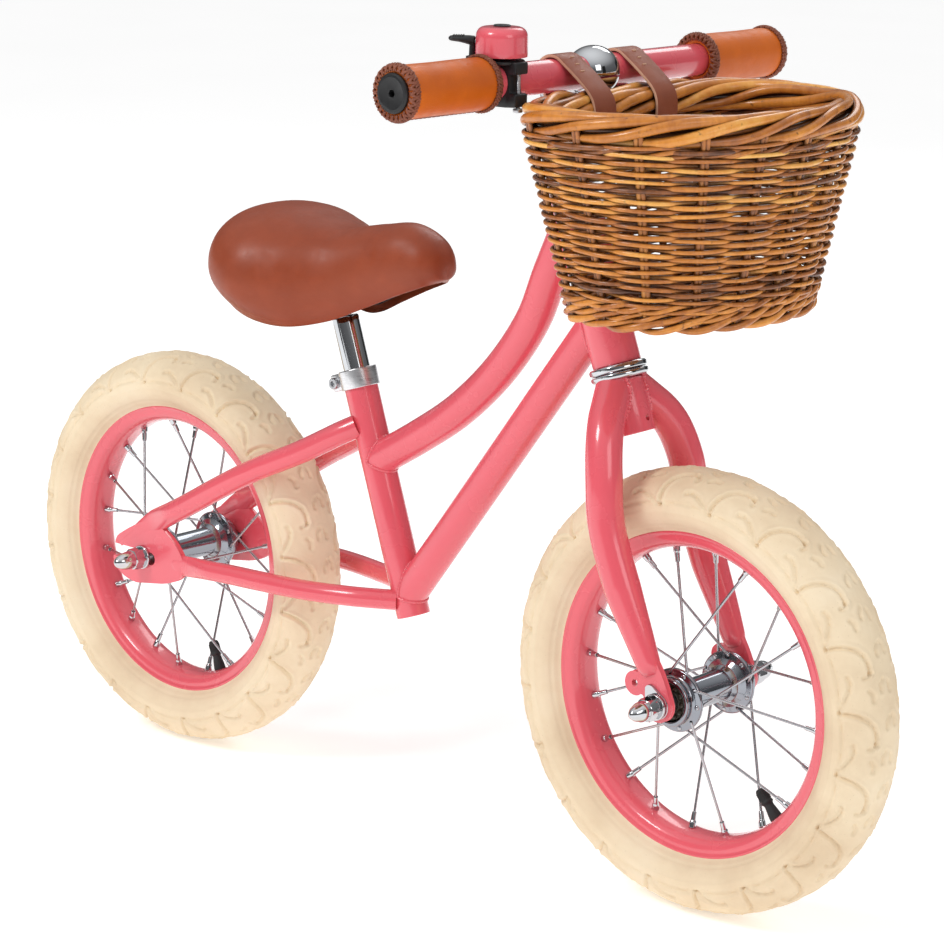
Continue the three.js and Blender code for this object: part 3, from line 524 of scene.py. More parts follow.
def tread_height(theta, w, side):
    """Height of the tread over the plain tyre. w is 0 at the side wall and 1 at the crown."""
    turns = -theta / (TAU / TREAD_UNITS) + (0.5 if side < 0 else 0.0)
    u, w = np.broadcast_arrays((turns % 1.0) * UNIT_LENGTH, w * SHOULDER_WIDTH)
    height = np.zeros(u.shape)
    for points, depth in GROOVES:
        line = np.array(points) * (UNIT_LENGTH, SHOULDER_WIDTH)
        distance = np.min([line_distance(u + k * UNIT_LENGTH, w, line) for k in (-1, 0, 1)], axis=0)
        height -= depth * np.exp(-(distance / GROOVE_WIDTH) ** 2)
        height += LIP_SHARE * depth * np.exp(-((distance - LIP_AT) / LIP_WIDTH) ** 2)
    return height


def make_tyre(prefix):
    centre = AXLES[prefix]
    outer = spline([(110.4, 12.8, 0), (112.6, 14.4, 0), (116.5, 16.5, 0), (120.5, 21.5, 0), (127, 26.3, 0),
                    (135, 28.1, 0), (142.5, 26.6, 0), (149.5, 21.6, 0), (154.4, 14.2, 0), (156.9, 6.8, 0),
                    (157.5, 0, 0)], 52)[:, :2]
    profile = np.vstack([outer, outer[-2::-1] * (1, -1)])
    theta = TAU * np.arange(TREAD_SEGMENTS) / TREAD_SEGMENTS
    slope = np.gradient(profile, axis=0)
    normal = np.stack([-slope[:, 1], slope[:, 0]], 1)
    normal /= np.linalg.norm(normal, axis=1)[:, None]
    normal *= np.sign(normal[:, 0] * (profile[:, 0] - 132) + normal[:, 1] * profile[:, 1])[:, None]
    steps = np.linalg.norm(np.diff(outer, axis=0), axis=1)
    travelled = np.concatenate([[0], np.cumsum(steps)])
    widest = travelled[int(np.argmax(outer[:, 1]))]
    half_share = (travelled - widest) / (travelled[-1] - widest)
    shoulder = np.concatenate([half_share, half_share[-2::-1]])
    height = np.zeros((len(profile), TREAD_SEGMENTS))
    for side in (1, -1):
        rows = (profile[:, 1] * side >= -0.01) & (shoulder > 0)
        height[rows] = tread_height(theta[None, :], shoulder[rows][:, None], side)
    # A raised ring and a sunk ring run round the side wall.
    raised = 0.55 * np.exp(-((profile[:, 0] - 131.0) / 0.8) ** 2)
    sunk = 0.5 * np.exp(-((profile[:, 0] - 120.5) / 0.7) ** 2)
    height += (raised - sunk)[:, None]
    radius = profile[:, :1] + normal[:, :1] * height
    across = profile[:, 1:] + normal[:, 1:] * height
    skin = np.stack([centre[0] + radius * np.cos(theta), across, centre[2] + radius * np.sin(theta)], -1)
    inner = [(110.4, 11.6), (118, 17.5), (127, 23), (137, 24.4), (146, 20), (151, 11), (152.4, 0)]
    inside = []
    for r, y in mirror(inner)[::-1]:
        inside.append(np.stack([centre[0] + r * np.cos(theta), np.full(TREAD_SEGMENTS, float(y)),
                                centre[2] + r * np.sin(theta)], -1))
    rows = np.concatenate([skin, np.array(inside)])
    made(prefix + "_tyre_cover", Shape().grid(rows, loop=True), prefix + "_wheel", cream,
         prefix + "_tyre", 60)


def spoke_place(i, valve):
    """Which flange a spoke is on, which way it leans, and its angles at the rim and the hub."""
    side = 1 if i % 2 else -1
    lead = 1 if (i // 2) % 2 else -1
    rim_angle = TAU * (i + 0.5) / SPOKES + valve
    return side, lead, rim_angle, rim_angle + lead * math.pi / 5


def make_wheel(prefix):
    centre, valve, body = AXLES[prefix], VALVES[prefix], prefix + "_wheel"
    make_tyre(prefix)

    half = [(102.5, 0), (102.7, 5.5), (104.2, 10.5), (107.2, 14.0), (110.6, 15.0), (113.2, 15.3),
            (114.6, 16.3), (115.9, 16.2), (116.3, 15.0), (115.4, 13.9), (112.2, 13.3), (109.0, 13.0),
            (106.2, 9.8), (104.6, 5), (104.4, 0)]
    section = half + [(r, -y) for r, y in half[-2:0:-1]]
    rim = Shape().turned(eased(section, 1.2, steps=2), centre, segments=160)
    made(prefix + "_rim_painted", rim, body, paint, prefix + "_rim", 50)

    spokes, nipples = Shape(), Shape()
    for i in range(SPOKES):
        side, lead, rim_angle, hub_angle = spoke_place(i, valve)
        head = round_y(centre, 19.5, hub_angle, side * (FLANGE_Y - lead * 2.1))
        bend = round_y(centre, 19.8, hub_angle, side * (FLANGE_Y + lead * 2.0))
        end = round_y(centre, 102.0, rim_angle, side * 1.5)
        aim = unit(end - bend)
        path = [head, head * 0.45 + bend * 0.55, bend + aim * 0.2, bend + aim * 2.2]
        spokes.sweep(np.vstack([path, [bend + aim * 12, end - aim * 6]]), 1.0, 10)
        spokes.turned([(1.9, -0.7), (1.9, 0.0), (1.4, 0.5), (0.7, 0.7)], head, side * -lead * Y, 12,
                      loop=False)
        nipples.turned(eased([(1.3, -10.5), (1.75, -10.5), (1.95, -4.5), (2.5, -3.2), (2.7, 0.8),
                              (1.3, 0.8)], 0.3),
                       end, aim, 16)
    made(prefix + "_spoke_set", spokes, body, spoke_steel, prefix + "_spokes", 50)
    made(prefix + "_nipples", nipples, body, chrome, ())

    barrel = eased(mirror([(11.3, 19), (13.2, 23.4), (17.6, 26.4), (21.8, 27.3), (22.6, 27.9), (22.6, 30.0),
                           (21.8, 30.6), (17.6, 31.2), (16.5, 32.6), (16.5, 34.0), (17.3, 34.9),
                           (17.3, 37.4), (16.7, 38.5), (14.4, 38.5), (13.8, 37.6), (13.8, 31.5),
                           (6.6, 30.5)]), 0.5, steps=2)
    hub = thing(prefix + "_hub_shell", Shape().turned(barrel, centre, segments=96))
    holes = Shape()
    for i in range(SPOKES):
        side, lead, rim_angle, hub_angle = spoke_place(i, valve)
        holes.turned([(1.35, -4), (1.35, 4)], round_y(centre, FLANGE_HOLES_R, hub_angle, side * FLANGE_Y),
                     Y, 12, loop=False)
    combine(hub, thing("hole_cutter", holes))
    placed(hub, body, shaded_hub_chrome, prefix + "_hub")

    # The inner tube, with its valve. The valve's cap has 18 fine ribs.
    tube = Shape().turned([(132.5 + 16 * math.cos(a), 16 * math.sin(a)) for a in TAU * np.arange(20) / 20],
                          centre, segments=96)
    direction = round_y(centre, 1, valve) - centre
    tube.turned(eased([(0.4, 79), (3.0, 79), (3.9, 80.5), (4.0, 88), (4.4, 89), (4.4, 90), (3.6, 90.6),
                       (3.3, 92), (4.1, 97), (4.6, 101), (4.6, 119), (0.4, 119)], 0.4, closed=False),
                centre, direction, 28, loop=False)
    for k in range(18):
        a = TAU * k / 18
        foot = centre + 4.0 * (math.cos(a) * Y + math.sin(a) * np.cross(direction, Y))
        tube.sweep([foot + direction * 81.5, foot + direction * 87.5], 0.35, 6)
    made(prefix + "_tube_and_valve", tube, body, rubber, prefix + "_inner_tube")


def make_axle(prefix, body, washer):
    centre = AXLES[prefix]
    thread = [(4.75, y) for y in (43.6, 44.2)]
    pitch = 0.72
    for k in range(30):
        y = 44.6 + pitch * k
        thread += [(4.75, y), (4.35, y + pitch / 2)]
    half = [(5.4, 0), (5.4, 35.5), (7.9, 38), (8.4, 38.6), (8.4, 43.4)] + thread
    half += [(4.2, 66.0), (0.3, 66.2)]
    rows = [(r, -y) for r, y in reversed(half)] + half
    axle = Shape().turned(rows, centre, segments=32, loop=False)
    for side in (1, -1):
        cone = [(8.6, 39.4), (9.4, 39.9), (9.4, 42.9), (8.6, 43.4)]
        axle.turned(cone, centre, side * Y, 36, loop=False, hexed=dict.fromkeys(range(4), 8.6))
    made(prefix + "_axle_turned", axle, body, steel, prefix + "_axle")

    outer = DROPOUT_OUT + (2.6 if washer else 0.6)
    for side, name in SIDES:
        race = Shape().turned(eased([(6.3, 31.9), (13.1, 31.9), (13.1, 35.6), (12.2, 36.6), (9.6, 35.4),
                                     (8.4, 37.6), (6.3, 36.2)], 0.4), centre, side * Y, 56)
        for k in range(11):
            ball = [(2.0 * math.sin(p), -2.0 * math.cos(p)) for p in np.linspace(0.15, math.pi - 0.15, 9)]
            race.turned(ball, round_y(centre, 10.9, TAU * k / 11, side * 35.9), Y, 14, loop=False)
        made(f"{prefix}_bearing_race_{name}", race, body, grease, f"{prefix}_bearing_{name}")

        nut, tip = Shape(), 79.0
        flange = eased([(5.2, outer), (9.2, outer), (9.4, outer + 0.6), (9.4, outer + 1.7),
                        (9.0, outer + 2.3), (5.2, outer + 2.3)], 0.3)
        nut.turned(flange, centre, side * Y, 48)
        rows = [(7.6, outer + 2.2), (8.9, outer + 3.0), (8.9, outer + 10.8), (8.0, outer + 11.9),
                (7.2, outer + 12.4), (7.1, outer + 15.0), (6.8, outer + 17.6), (6.1, tip - 8.0),
                (5.0, tip - 4.6), (3.3, tip - 1.9), (1.6, tip - 0.6), (0.3, tip)]
        nut.turned(rows, centre, side * Y, 60, loop=False, hexed=dict.fromkeys(range(4), 7.5))
        made(f"{prefix}_acorn_nut_{name}", nut, body, chrome, f"{prefix}_axle_nut_{name}", 30)


for wheel in ("rear", "front"):
    make_wheel(wheel)
make_axle("rear", "frame", False)
make_axle("front", "fork", True)

# ------------------------------------------------------------ frame
head_line = (HEAD_FOOT, HEAD_UP)
seat_line = (SEAT_TOP, SEAT_UP)
HEAD_R, SEAT_R, TUBE_R = 17.3, 12.8, 13.0


def seam(shape, ring, width=1.3, count=120, ripples=40):
    """The weld bead where one tube meets another."""
    ring = resample(ring, count, closed=True)
    even = 0.16 * np.cos(TAU * np.arange(count) / count * ripples)
    ripple = width * (1 + even + 0.08 * rng.standard_normal(count))
    shape.sweep(ring, ripple, 10, loop=True)


def coped_tube(path, radius, start, end, sides=48):
    """A tube whose ends are cut to fit the round tubes it is welded to."""
    path = np.asarray(path, float)
    across = Shape().sweep(path, radius, sides, up=Y)
    rows = across.verts[0].reshape(len(path), sides, 3)
    shape, welds = Shape(), Shape()
    for end_index, ((point, axis), cylinder) in ((0, start), (-1, end)):
        order = slice(None) if end_index == 0 else slice(None, None, -1)
        ordered = rows[order]
        line = np.asarray(path[order])
        away = np.array([np.linalg.norm(np.cross(p - point, axis)) for p in line])
        first = int(np.argmax(away > cylinder + radius * 1.35))
        inward = unit(line[first] - line[first + 1])
        rows = ordered[first:]
        path = line[first:]
        ring = hit(rows[0], inward, point, axis, cylinder - 0.8)
        bead = hit(rows[0], inward, point, axis, cylinder + 0.25)
        rows = np.concatenate([ring[None], rows])
        path = np.vstack([ring.mean(0), path])
        if end_index == -1:
            rows, path = rows[::-1], path[::-1]
        seam(welds, bead)
    shape.grid(rows)
    return shape, welds


head = Shape().turned(eased([(17.3, 5), (17.3, 130), (14.7, 130), (14.7, 5)], 0.7), HEAD_FOOT, HEAD_UP, 96)
made("head_tube_smooth", head, "frame", paint, "head_tube")

top_route = spline([(-57, 0, 264.5), (-10.5, 0, 292), (30.5, 0, 320), (69.5, 0, 357), (98.5, 0, 397),
                    (115, 0, 436), (140, 0, 486)], 96)
tube, weld = coped_tube(top_route, TUBE_R, (seat_line, SEAT_R), (head_line, HEAD_R))
made("top_tube_smooth", tube, "frame", paint, "top_tube")
made("top_tube_welds", weld, "frame", paint, (), 80)

down_route = spline([(-23, 0, 162.4), (40, 0, 246.3), (103, 0, 330.2), (166, 0, 414)], 80)
tube, weld = coped_tube(down_route, TUBE_R, (seat_line, SEAT_R), (head_line, HEAD_R))
made("down_tube_smooth", tube, "frame", paint, "down_tube")
made("down_tube_welds", weld, "frame", paint, (), 80)

seat_tube = thing("seat_tube_smooth", Shape().turned(
    eased([(12.8, -189), (12.8, 0), (10.8, 0), (10.8, -189)], 0.6), SEAT_TOP, SEAT_UP, 72))
slit = box_shape((-16, -1.2, -24), (0, 1.2, 2), 0.3, on_seat)
combine(seat_tube, thing("slit_cutter", slit))
placed(seat_tube, "frame", paint, "seat_tube")

# A stay's radius, where its flat end begins and how far its point reaches, then its way from the
# seat tube to the dropout.
STAY_POINTS = 110
STAYS = {
    "seat": (8.9, 40.0, 48.0, [
        (-66, 9, 292), (-76, 16, 286), (-106, 29, 268), (-144, 40.5, 249), (-175, 45, 231.5),
        (-217, 47, 207), (-250, 47.25, 189), (-291, 47.25, 163.5)]),
    "chain": (7.7, 12.0, 6.0, [
        (-22, 9, 165), (-50, 27, 165.5), (-90, 39, 164.5), (-130, 45, 164), (-172, 47, 162.5),
        (-232, 47.3, 158.2)]),
}
for kind, (stay_r, run_out, point, route) in STAYS.items():
    for side, name in SIDES:
        path = spline(np.array(route) * (1, side, 1), STAY_POINTS)
        left = np.linalg.norm(path - path[-1], axis=1)
        squeeze = np.clip((left - run_out) / -38.0 + 1, 0, 1)
        squeeze = squeeze * squeeze * (3 - 2 * squeeze)
        end = np.sqrt(np.clip(1 - np.clip(1 - left / (0.9 * stay_r), 0, 1) ** 2, 0.03, 1))
        radii = np.stack([(stay_r * (1 - squeeze) + 2.6 * squeeze) * (0.4 + 0.6 * end),
                          stay_r * (1 + 0.08 * squeeze) * np.clip(left / point, 0.12, 1) ** 0.62], 1)
        shape = Shape().sweep(path, radii, 32, up=Z)
        made(f"{kind}_stay_smooth_{name}", shape, "frame", paint, f"{kind}_stay_{name}")


def arc_points(cx, cz, r, start, end, steps=12):
    return [(cx + r * math.cos(a), cz + r * math.sin(a))
            for a in np.linspace(math.radians(start), math.radians(end), steps)]


def curve_points(points, steps=8):
    """A quadratic curve from the first point towards the second, to the third."""
    (ax, az), (bx, bz), (cx, cz) = points
    return [((1 - t) ** 2 * ax + 2 * t * (1 - t) * bx + t * t * cx,
             (1 - t) ** 2 * az + 2 * t * (1 - t) * bz + t * t * cz) for t in np.linspace(0, 1, steps)]


axle_x, axle_z = AXLES["rear"][0], WHEEL_R
for side, name in SIDES:
    outline = (curve_points([(-297, 150), (-292, 137), (-270, 136)])
               + curve_points([(-240, 141), (-219, 146), (-217, 153)])
               + curve_points([(-216, 163), (-222, 174), (-234, 181)])
               + curve_points([(-250, 192), (-270, 184), (-290, 171)])
               + curve_points([(-290.5, 171.5), (-298, 162), (-297, 150.5)])[1:])
    # The slot for the axle opens to the rear.
    slot_r = 5.2
    slot_top, slot_low = axle_z + slot_r, axle_z - slot_r
    outline = [p for p in outline if not (p[0] < -292 and slot_low < p[1] < slot_top)]
    plate = thing(f"rear_dropout_plate_{name}", Shape().plate(
        outline, DROPOUT_IN * side, DROPOUT_OUT * side, 0.7 * side))
    ring = arc_points(axle_x + 9, axle_z, slot_r, -90, 90) + [(-310, slot_top), (-310, slot_low)]
    combine(plate, thing("slot_cutter", Shape().plate(ring, *span(side, 40, 60), 0.01)))
    placed(plate, "frame", paint, f"rear_dropout_{name}")

# Headset: pressed cups with a stepped outside.
lower = eased([(13.4, -0.4), (19.4, -0.4), (20.7, 0.8), (20.7, 3.4), (19.6, 4.7), (14.2, 4.7), (14.2, 14),
               (13.4, 14)], 0.5)
made("lower_headset_cup_turned", Shape().turned(lower, HEAD_FOOT, HEAD_UP, 72), "frame", chrome,
     "lower_headset_cup", 30)
upper = eased([(13.4, 121), (14.2, 121), (14.2, 130.3), (19.0, 130.3), (19.6, 131.2), (19.4, 133.6),
               (18.0, 136), (13.4, 136)], 0.5)
made("upper_headset_cup_turned", Shape().turned(upper, HEAD_FOOT, HEAD_UP, 72), "frame", chrome,
     "upper_headset_cup", 30)

# Seat collar: a ring with two ears at the back and a socket bolt through them.
collar = thing("seat_collar", Shape().turned(
    eased([(14.7, -13), (14.7, 1.0), (14.2, 1.6), (11.2, 1.6), (11.2, 0.5), (13.05, 0.5), (13.05, -13)],
          0.5),
    SEAT_TOP, SEAT_UP, 80))
ears = box_shape((-23, -7, -12), (-13.2, 7, 1), 1.6, on_seat)
combine(collar, thing("ears", ears), "UNION")
gap = box_shape((-30, -1.2, -20), (-5, 1.2, 20), 0.2, on_seat)
combine(collar, thing("gap_cutter", gap))
placed(collar, "frame", aluminium, "seat_clamp")
bolt_at = on_seat(-18.5, 0, -5.5)
bolt = Shape().turned([(2.4, -8), (2.4, 8)], bolt_at, Y, 24, loop=False)
bolt.turned(eased([(1.9, -8.6), (2.1, -11.0), (3.9, -11.0), (4.3, -10.4), (4.3, -7.2), (0.3, -7.2),
                   (0.3, -8.6)], 0.2),
            bolt_at, Y, 36)
bolt.turned([(4.2, 7.1), (4.6, 7.6), (4.6, 10.0), (4.1, 10.5)], bolt_at, Y, 36, loop=False,
            hexed=dict.fromkeys(range(4), 4.0))
made("seat_collar_bolt", bolt, "frame", steel, "seat_clamp_bolt")

# ------------------------------------------------------------ fork
crown = thing("steerer_tube", Shape().turned(
    eased([(15.2, -44.7), (15.2, -7.6), (14.4, -6.3), (12.7, -6.0), (12.7, 146), (11.8, 146),
           (11.8, -44.7)], 0.6),
    HEAD_FOOT, HEAD_UP, 72))
hole = Shape().turned([(2.1, 0), (2.1, 30)], on_head(0, 0, -36), HEAD_FORWARD, 20, loop=False)
combine(crown, thing("crown_cutter", hole))
placed(crown, "fork", paint, "steerer")

FORK_AXLE = (2.07, -229.27)
blade_route = [(0, 5, -15), (2, 22, -24), (4, 36, -42), (2, 44.5, -68), (-4, 47.5, -100), (-4, 48, -140),
               (0, 47.8, -183), (2.4, 47.3, -208)]
BLADE_POINTS, BLADE_SIDES = 110, 44
for side, name in SIDES:
    path = np.array([on_head(x, y * side, z) for x, y, z in spline(blade_route, BLADE_POINTS)])
    t = np.linspace(0, 1, BLADE_POINTS)
    taper = np.clip((t - 0.70) / 0.28, 0, 1) ** 1.15
    round_off = np.sqrt(np.clip(1 - np.clip((t - 0.955) / 0.045, 0, 1) ** 2.2, 0.02, 1))
    wide = TUBE_R * (1 - 0.34 * taper) * (0.62 + 0.38 * round_off)
    thick = TUBE_R * (1 - 0.40 * taper) * (0.26 + 0.74 * round_off)
    blade = Shape()
    whole = Shape().sweep(path, np.stack([wide, thick], 1), BLADE_SIDES, up=Y * side)
    rows = whole.verts[0].reshape(BLADE_POINTS, BLADE_SIDES, 3)
    # The blade starts on the skin of the crown, so its first rows are left out.
    begin = 12
    inward = unit(path[begin] - path[begin + 1])
    ring = hit(rows[begin], inward, *head_line, 14.6)
    blade.grid(np.concatenate([ring[None], rows[begin:]]))
    seam(blade, hit(rows[begin], inward, *head_line, 15.4), 1.6)

    ax, az = FORK_AXLE
    outline = ([(ax - 6.5, az + 42), (ax - 6.8, az + 30), (ax - 8.2, az + 26.4)]
               + arc_points(ax - 15, az + 18.5, 8, 50, 292, 16)
               + curve_points([(ax - 10.2, az + 10), (ax - 8.8, az + 8), (ax - 9.8, az + 5.4)], 4)
               + arc_points(ax, az, 11, 152, 352, 18)
               + curve_points([(ax + 11, az + 3), (ax + 10.6, az + 20), (ax + 7.4, az + 30)], 6)
               + [(ax + 7.2, az + 42)])
    drop = thing(f"fork_dropout_{name}", Shape().plate(
        outline, DROPOUT_IN * side, DROPOUT_OUT * side, 0.8 * side, to_world=on_head))
    cutters = Shape()
    for x, z, r in ((-15, 18.5, 2.6), (0, 0, 5.15), (-2.5, 13.8, 1.9)):
        cutters.turned([(r, 35), (r, 60)], on_head(ax + x, 0, az + z), Y * side, 28, loop=False)
    combine(drop, thing("drop_cutter", cutters))
    low, high = span(side, 40, 60)
    slot_cut = box_shape((ax - 30, low, az - 5.15), (ax, high, az + 5.15), 0.05, on_head)
    combine(drop, thing("slot_cutter", slot_cut))
    placed(drop, "fork", paint, ())
    made(f"fork_blade_smooth_{name}", blade, "fork", paint, f"fork_blade_{name}")

    tab_outline = (arc_points(ax, az, 8.8, 158, 382, 20) + curve_points(
        [(ax + 1.0, az + 13.8), (ax - 1.6, az + 16.2), (ax - 4.4, az + 14.2)], 6))
    tab = thing(f"tab_washer_plate_{name}", Shape().plate(
        tab_outline, 49.8 * side, 51.8 * side, 0.5 * side, to_world=on_head))
    hole = Shape().turned([(5.3, 40), (5.3, 60)], on_head(ax, 0, az), Y * side, 32, loop=False)
    combine(tab, thing("tab_cutter", hole))
    hook = Shape().turned(eased([(0.3, 45.6), (1.5, 46), (1.7, 51.2), (0.3, 51.5)], 0.3, closed=False),
                          on_head(ax - 2.5, 0, az + 13.8), Y * side, 20, loop=False)
    combine(tab, thing("hook", hook), "UNION")
    placed(tab, "fork", chrome, f"tab_washer_{name}")

race = eased([(13.2, -5.6), (18.6, -5.6), (20.2, -4.6), (20.7, -3.4), (20.7, -1.6), (19.8, -0.8),
              (13.2, -0.8)], 0.4)
made("crown_race_turned", Shape().turned(race, HEAD_FOOT, HEAD_UP, 72), "fork", chrome, "crown_race",
     30)
locknut = [(13.4, 136.4), (18.6, 136.4), (19, 136.9), (19, 138.0), (18.4, 138.6), (17.4, 139),
           (17.4, 143.4), (16.4, 144.5), (13.4, 144.5)]
locknut = Shape().turned(locknut, HEAD_FOOT, HEAD_UP, 72, hexed=dict.fromkeys((5, 6, 7), 15.8))
made("headset_locknut_turned", locknut, "fork", chrome, "headset_locknut", 30)

# ------------------------------------------------------------ stem, bar, grips
bar_local = np.array([(BAR - HEAD_FOOT) @ HEAD_FORWARD, 0, (BAR - HEAD_FOOT) @ HEAD_UP])
# The quill swells towards the clamp, from one of its points on.
QUILL_R, QUILL_POINTS, SWELL_FROM = 10.6, 70, 52
quill_path = spline([(0, 0, 60), (0, 0, 120), (0, 0, 172), (5, 0, 190), (18, 0, 200),
                     (bar_local[0] - 8, 0, bar_local[2] - 1)], QUILL_POINTS)
past = np.arange(QUILL_POINTS) - SWELL_FROM
quill_r = np.where(past > 0, QUILL_R + 2.2 * np.clip(past / 16, 0, 1) ** 2, QUILL_R)
quill = thing("stem_quill", Shape().sweep([on_head(*p) for p in quill_path], quill_r, 48, up=Y))
ball = [(17.9 * math.cos(a) ** 0.8, 18.6 * math.sin(a)) for a in np.linspace(-1.18, 1.18, 27)]
clamp = thing("clamp", Shape().turned([(9, -17.4)] + ball + [(9, 17.4)], BAR, Y, 96, loop=False))
combine(quill, clamp, "UNION")
bore = Shape().turned([(BAR_R + 0.15, -40), (BAR_R + 0.15, 40)], BAR, Y, 80, loop=False)
combine(quill, thing("bar_cutter", bore))
split = box_shape((bar_local[0] + 2, -30, bar_local[2] - 8.6), (bar_local[0] + 30, 30, bar_local[2] - 7.2),
                  0.2, on_head)
combine(quill, thing("split_cutter", split))
way = Shape().turned([(4.6, 40), (4.6, 225)], HEAD_FOOT, HEAD_UP, 32, loop=False)
combine(quill, thing("bolt_cutter", way))
placed(quill, "cockpit", chrome, "stem")
expander = Shape().turned(eased([(0.3, 40), (10.4, 40), (10.6, 59), (3.6, 59.4), (3.6, 199), (0.3, 199)],
                                0.6, closed=False), HEAD_FOOT, HEAD_UP, 40, loop=False)
expander.turned([(5.6, 198), (6.0, 198.6), (6.0, 205.4), (5.2, 206), (2.6, 206), (2.6, 202), (0.3, 202)],
                HEAD_FOOT, HEAD_UP, 40, loop=False, hexed={4: 2.3, 5: 2.3})
made("stem_expander_bolt", expander, "cockpit", steel, "stem_expander")

bar = Shape().turned(eased([(BAR_R, -BAR_HALF), (BAR_R, BAR_HALF), (BAR_R - 1.6, BAR_HALF),
                            (BAR_R - 1.6, -BAR_HALF)],
                           0.4), BAR, Y, 72)
made("handlebar_tube", bar, "cockpit", paint, "handlebar")


LACE_COUNT, LACE_STEPS = 26, 12

for side, name in SIDES:
    outer, inner = BAR_HALF + 1.0, BAR_HALF - GRIP_LENGTH
    grip = Shape()

    def on_grip(y, r, a, side=side):
        return round_y(BAR, r, a, side * y)

    core = GRIP_R - 0.9
    body_profile = [(BAR_R + 0.2, inner + 0.8), (core - 1.4, inner + 0.4), (core - 0.3, inner + 1.2),
                    (core, inner + 2.6)]
    body_profile += [(core + 0.12 * math.sin(k), y)
                     for k, y in enumerate(np.linspace(inner + 8, outer - 8, 9))]
    body_profile += [(core, outer - 2.6), (core - 0.3, outer - 1.0), (core - 1.4, outer),
                     (13.7, outer + 0.2), (13.2, outer - 1), (BAR_R + 0.2, outer - 1)]
    grip.turned(eased(body_profile, 0.8, steps=2), BAR, side * Y, 96)
    # The seam along the underside, where the leather's two edges meet.
    groove = [on_grip(y, core - 0.1, -math.pi / 2) for y in np.linspace(inner + 2, outer - 2, 40)]
    grip.sweep(np.array(groove), 0.5, 8, slot=1)
    for y in np.arange(inner + 5, outer - 4, 4.2):
        for flip in (1, -1):
            stitch = [on_grip(y + 1.9 * s, core + 0.35 - 0.45 * abs(2 * s - 1) ** 3,
                                 -math.pi / 2 + flip * 0.16 * (s - 0.5) * 2) for s in np.linspace(0, 1, 7)]
            grip.sweep(np.array(stitch), 0.55, 8, slot=1)
    # Braided lace over both edges: slanting stitches round the edge, and a plait through them.
    lace_r = 0.95 * np.array([0.6] + [1] * (LACE_STEPS - 2) + [0.6])
    for end_y, face in ((outer, 1), (inner, -1)):
        r_in, r_out, back = (14.3, core + 0.55, 5.2) if face > 0 else (14.0, core + 0.55, 4.6)
        for k in range(LACE_COUNT):
            for lean in (1, -1):
                a0 = TAU * (k + (0.0 if lean > 0 else 0.5)) / LACE_COUNT
                points = []
                for s in np.linspace(0, 1, 11):
                    a = a0 + lean * (s - 0.5) * 1.1 * TAU / LACE_COUNT
                    lift = 0.35 if lean > 0 else 0.0
                    if s < 0.45:
                        q = s / 0.45
                        points.append(on_grip(end_y - face * back * (1 - q) - face * 0.4, r_out + lift, a))
                    elif s < 0.6:
                        points.append(on_grip(
                            end_y + face * (0.3 + lift * 0.5), r_out - 0.5 + lift * 0.5, a))
                    else:
                        q = (s - 0.6) / 0.4
                        r = (r_out - 0.9) * (1 - q) + r_in * q
                        points.append(on_grip(end_y + face * (0.55 + lift - 0.5 * q), r, a))
                grip.sweep(resample(points, LACE_STEPS), lace_r, 8, slot=1)
        for phase in (0.0, math.pi):
            a = TAU * np.arange(312) / 312
            wave = np.sin(LACE_COUNT * a + phase)
            ring = np.array([on_grip(end_y - face * (back * 0.55 + 1.3 * w),
                                     r_out + 0.5 + 0.35 * math.cos(LACE_COUNT * b + phase), b)
                             for w, b in zip(wave, a)])
            grip.sweep(ring, 0.75, 8, loop=True, slot=1)
    made(f"grip_leather_{name}", grip, "cockpit", [tan, lace], f"grip_{name}", 45)

    plug = Shape().turned([(0.3, BAR_HALF - 14), (BAR_R - 2, BAR_HALF - 14), (BAR_R - 2, outer),
                           (12.9, outer), (13.3, outer + 0.5), (13.2, outer + 1.8), (12.2, outer + 2.9),
                           (10.6, outer + 3.1), (9.8, outer + 2.7), (3.2, outer + 2.7), (2.7, outer + 2.3),
                           (2.5, outer - 2), (0.3, outer - 2)], BAR, side * Y, 72, loop=False,
                          hexed={9: 2.9, 10: 2.4, 11: 2.3})
    made(f"bar_end_plug_{name}", plug, "cockpit", black, f"bar_plug_{name}", 30)

# ------------------------------------------------------------ bell
bell = BAR + BELL_Y * Y
foot = BAR_R + 2.6
dome_foot, dome_top = foot + 2.6, foot + 22.6
r = 17.4
outside = [(r, dome_foot), (r + 0.15, dome_foot + 3), (r, dome_top - 7.5)]
outside += [(r - 5.6 + 5.6 * math.cos(a), dome_top - 7.0 + 6.6 * math.sin(a))
            for a in np.linspace(0.1, 1.5, 10)]
outside += [(6.6, dome_top), (6.2, dome_top - 0.5), (3, dome_top - 0.5), (3, dome_top - 1.7),
            (r - 6, dome_top - 1.8)]
outside += [(r - 6 + 4.6 * math.cos(a), dome_top - 7.4 + 5.6 * math.sin(a))
            for a in np.linspace(1.5, 0.1, 8)]
outside += [(r - 1.4, dome_foot)]
made("bell_dome_painted", Shape().turned(eased(outside, 0.4, steps=2), bell, Z, 96), "cockpit", paint,
     "bell_dome", 40)

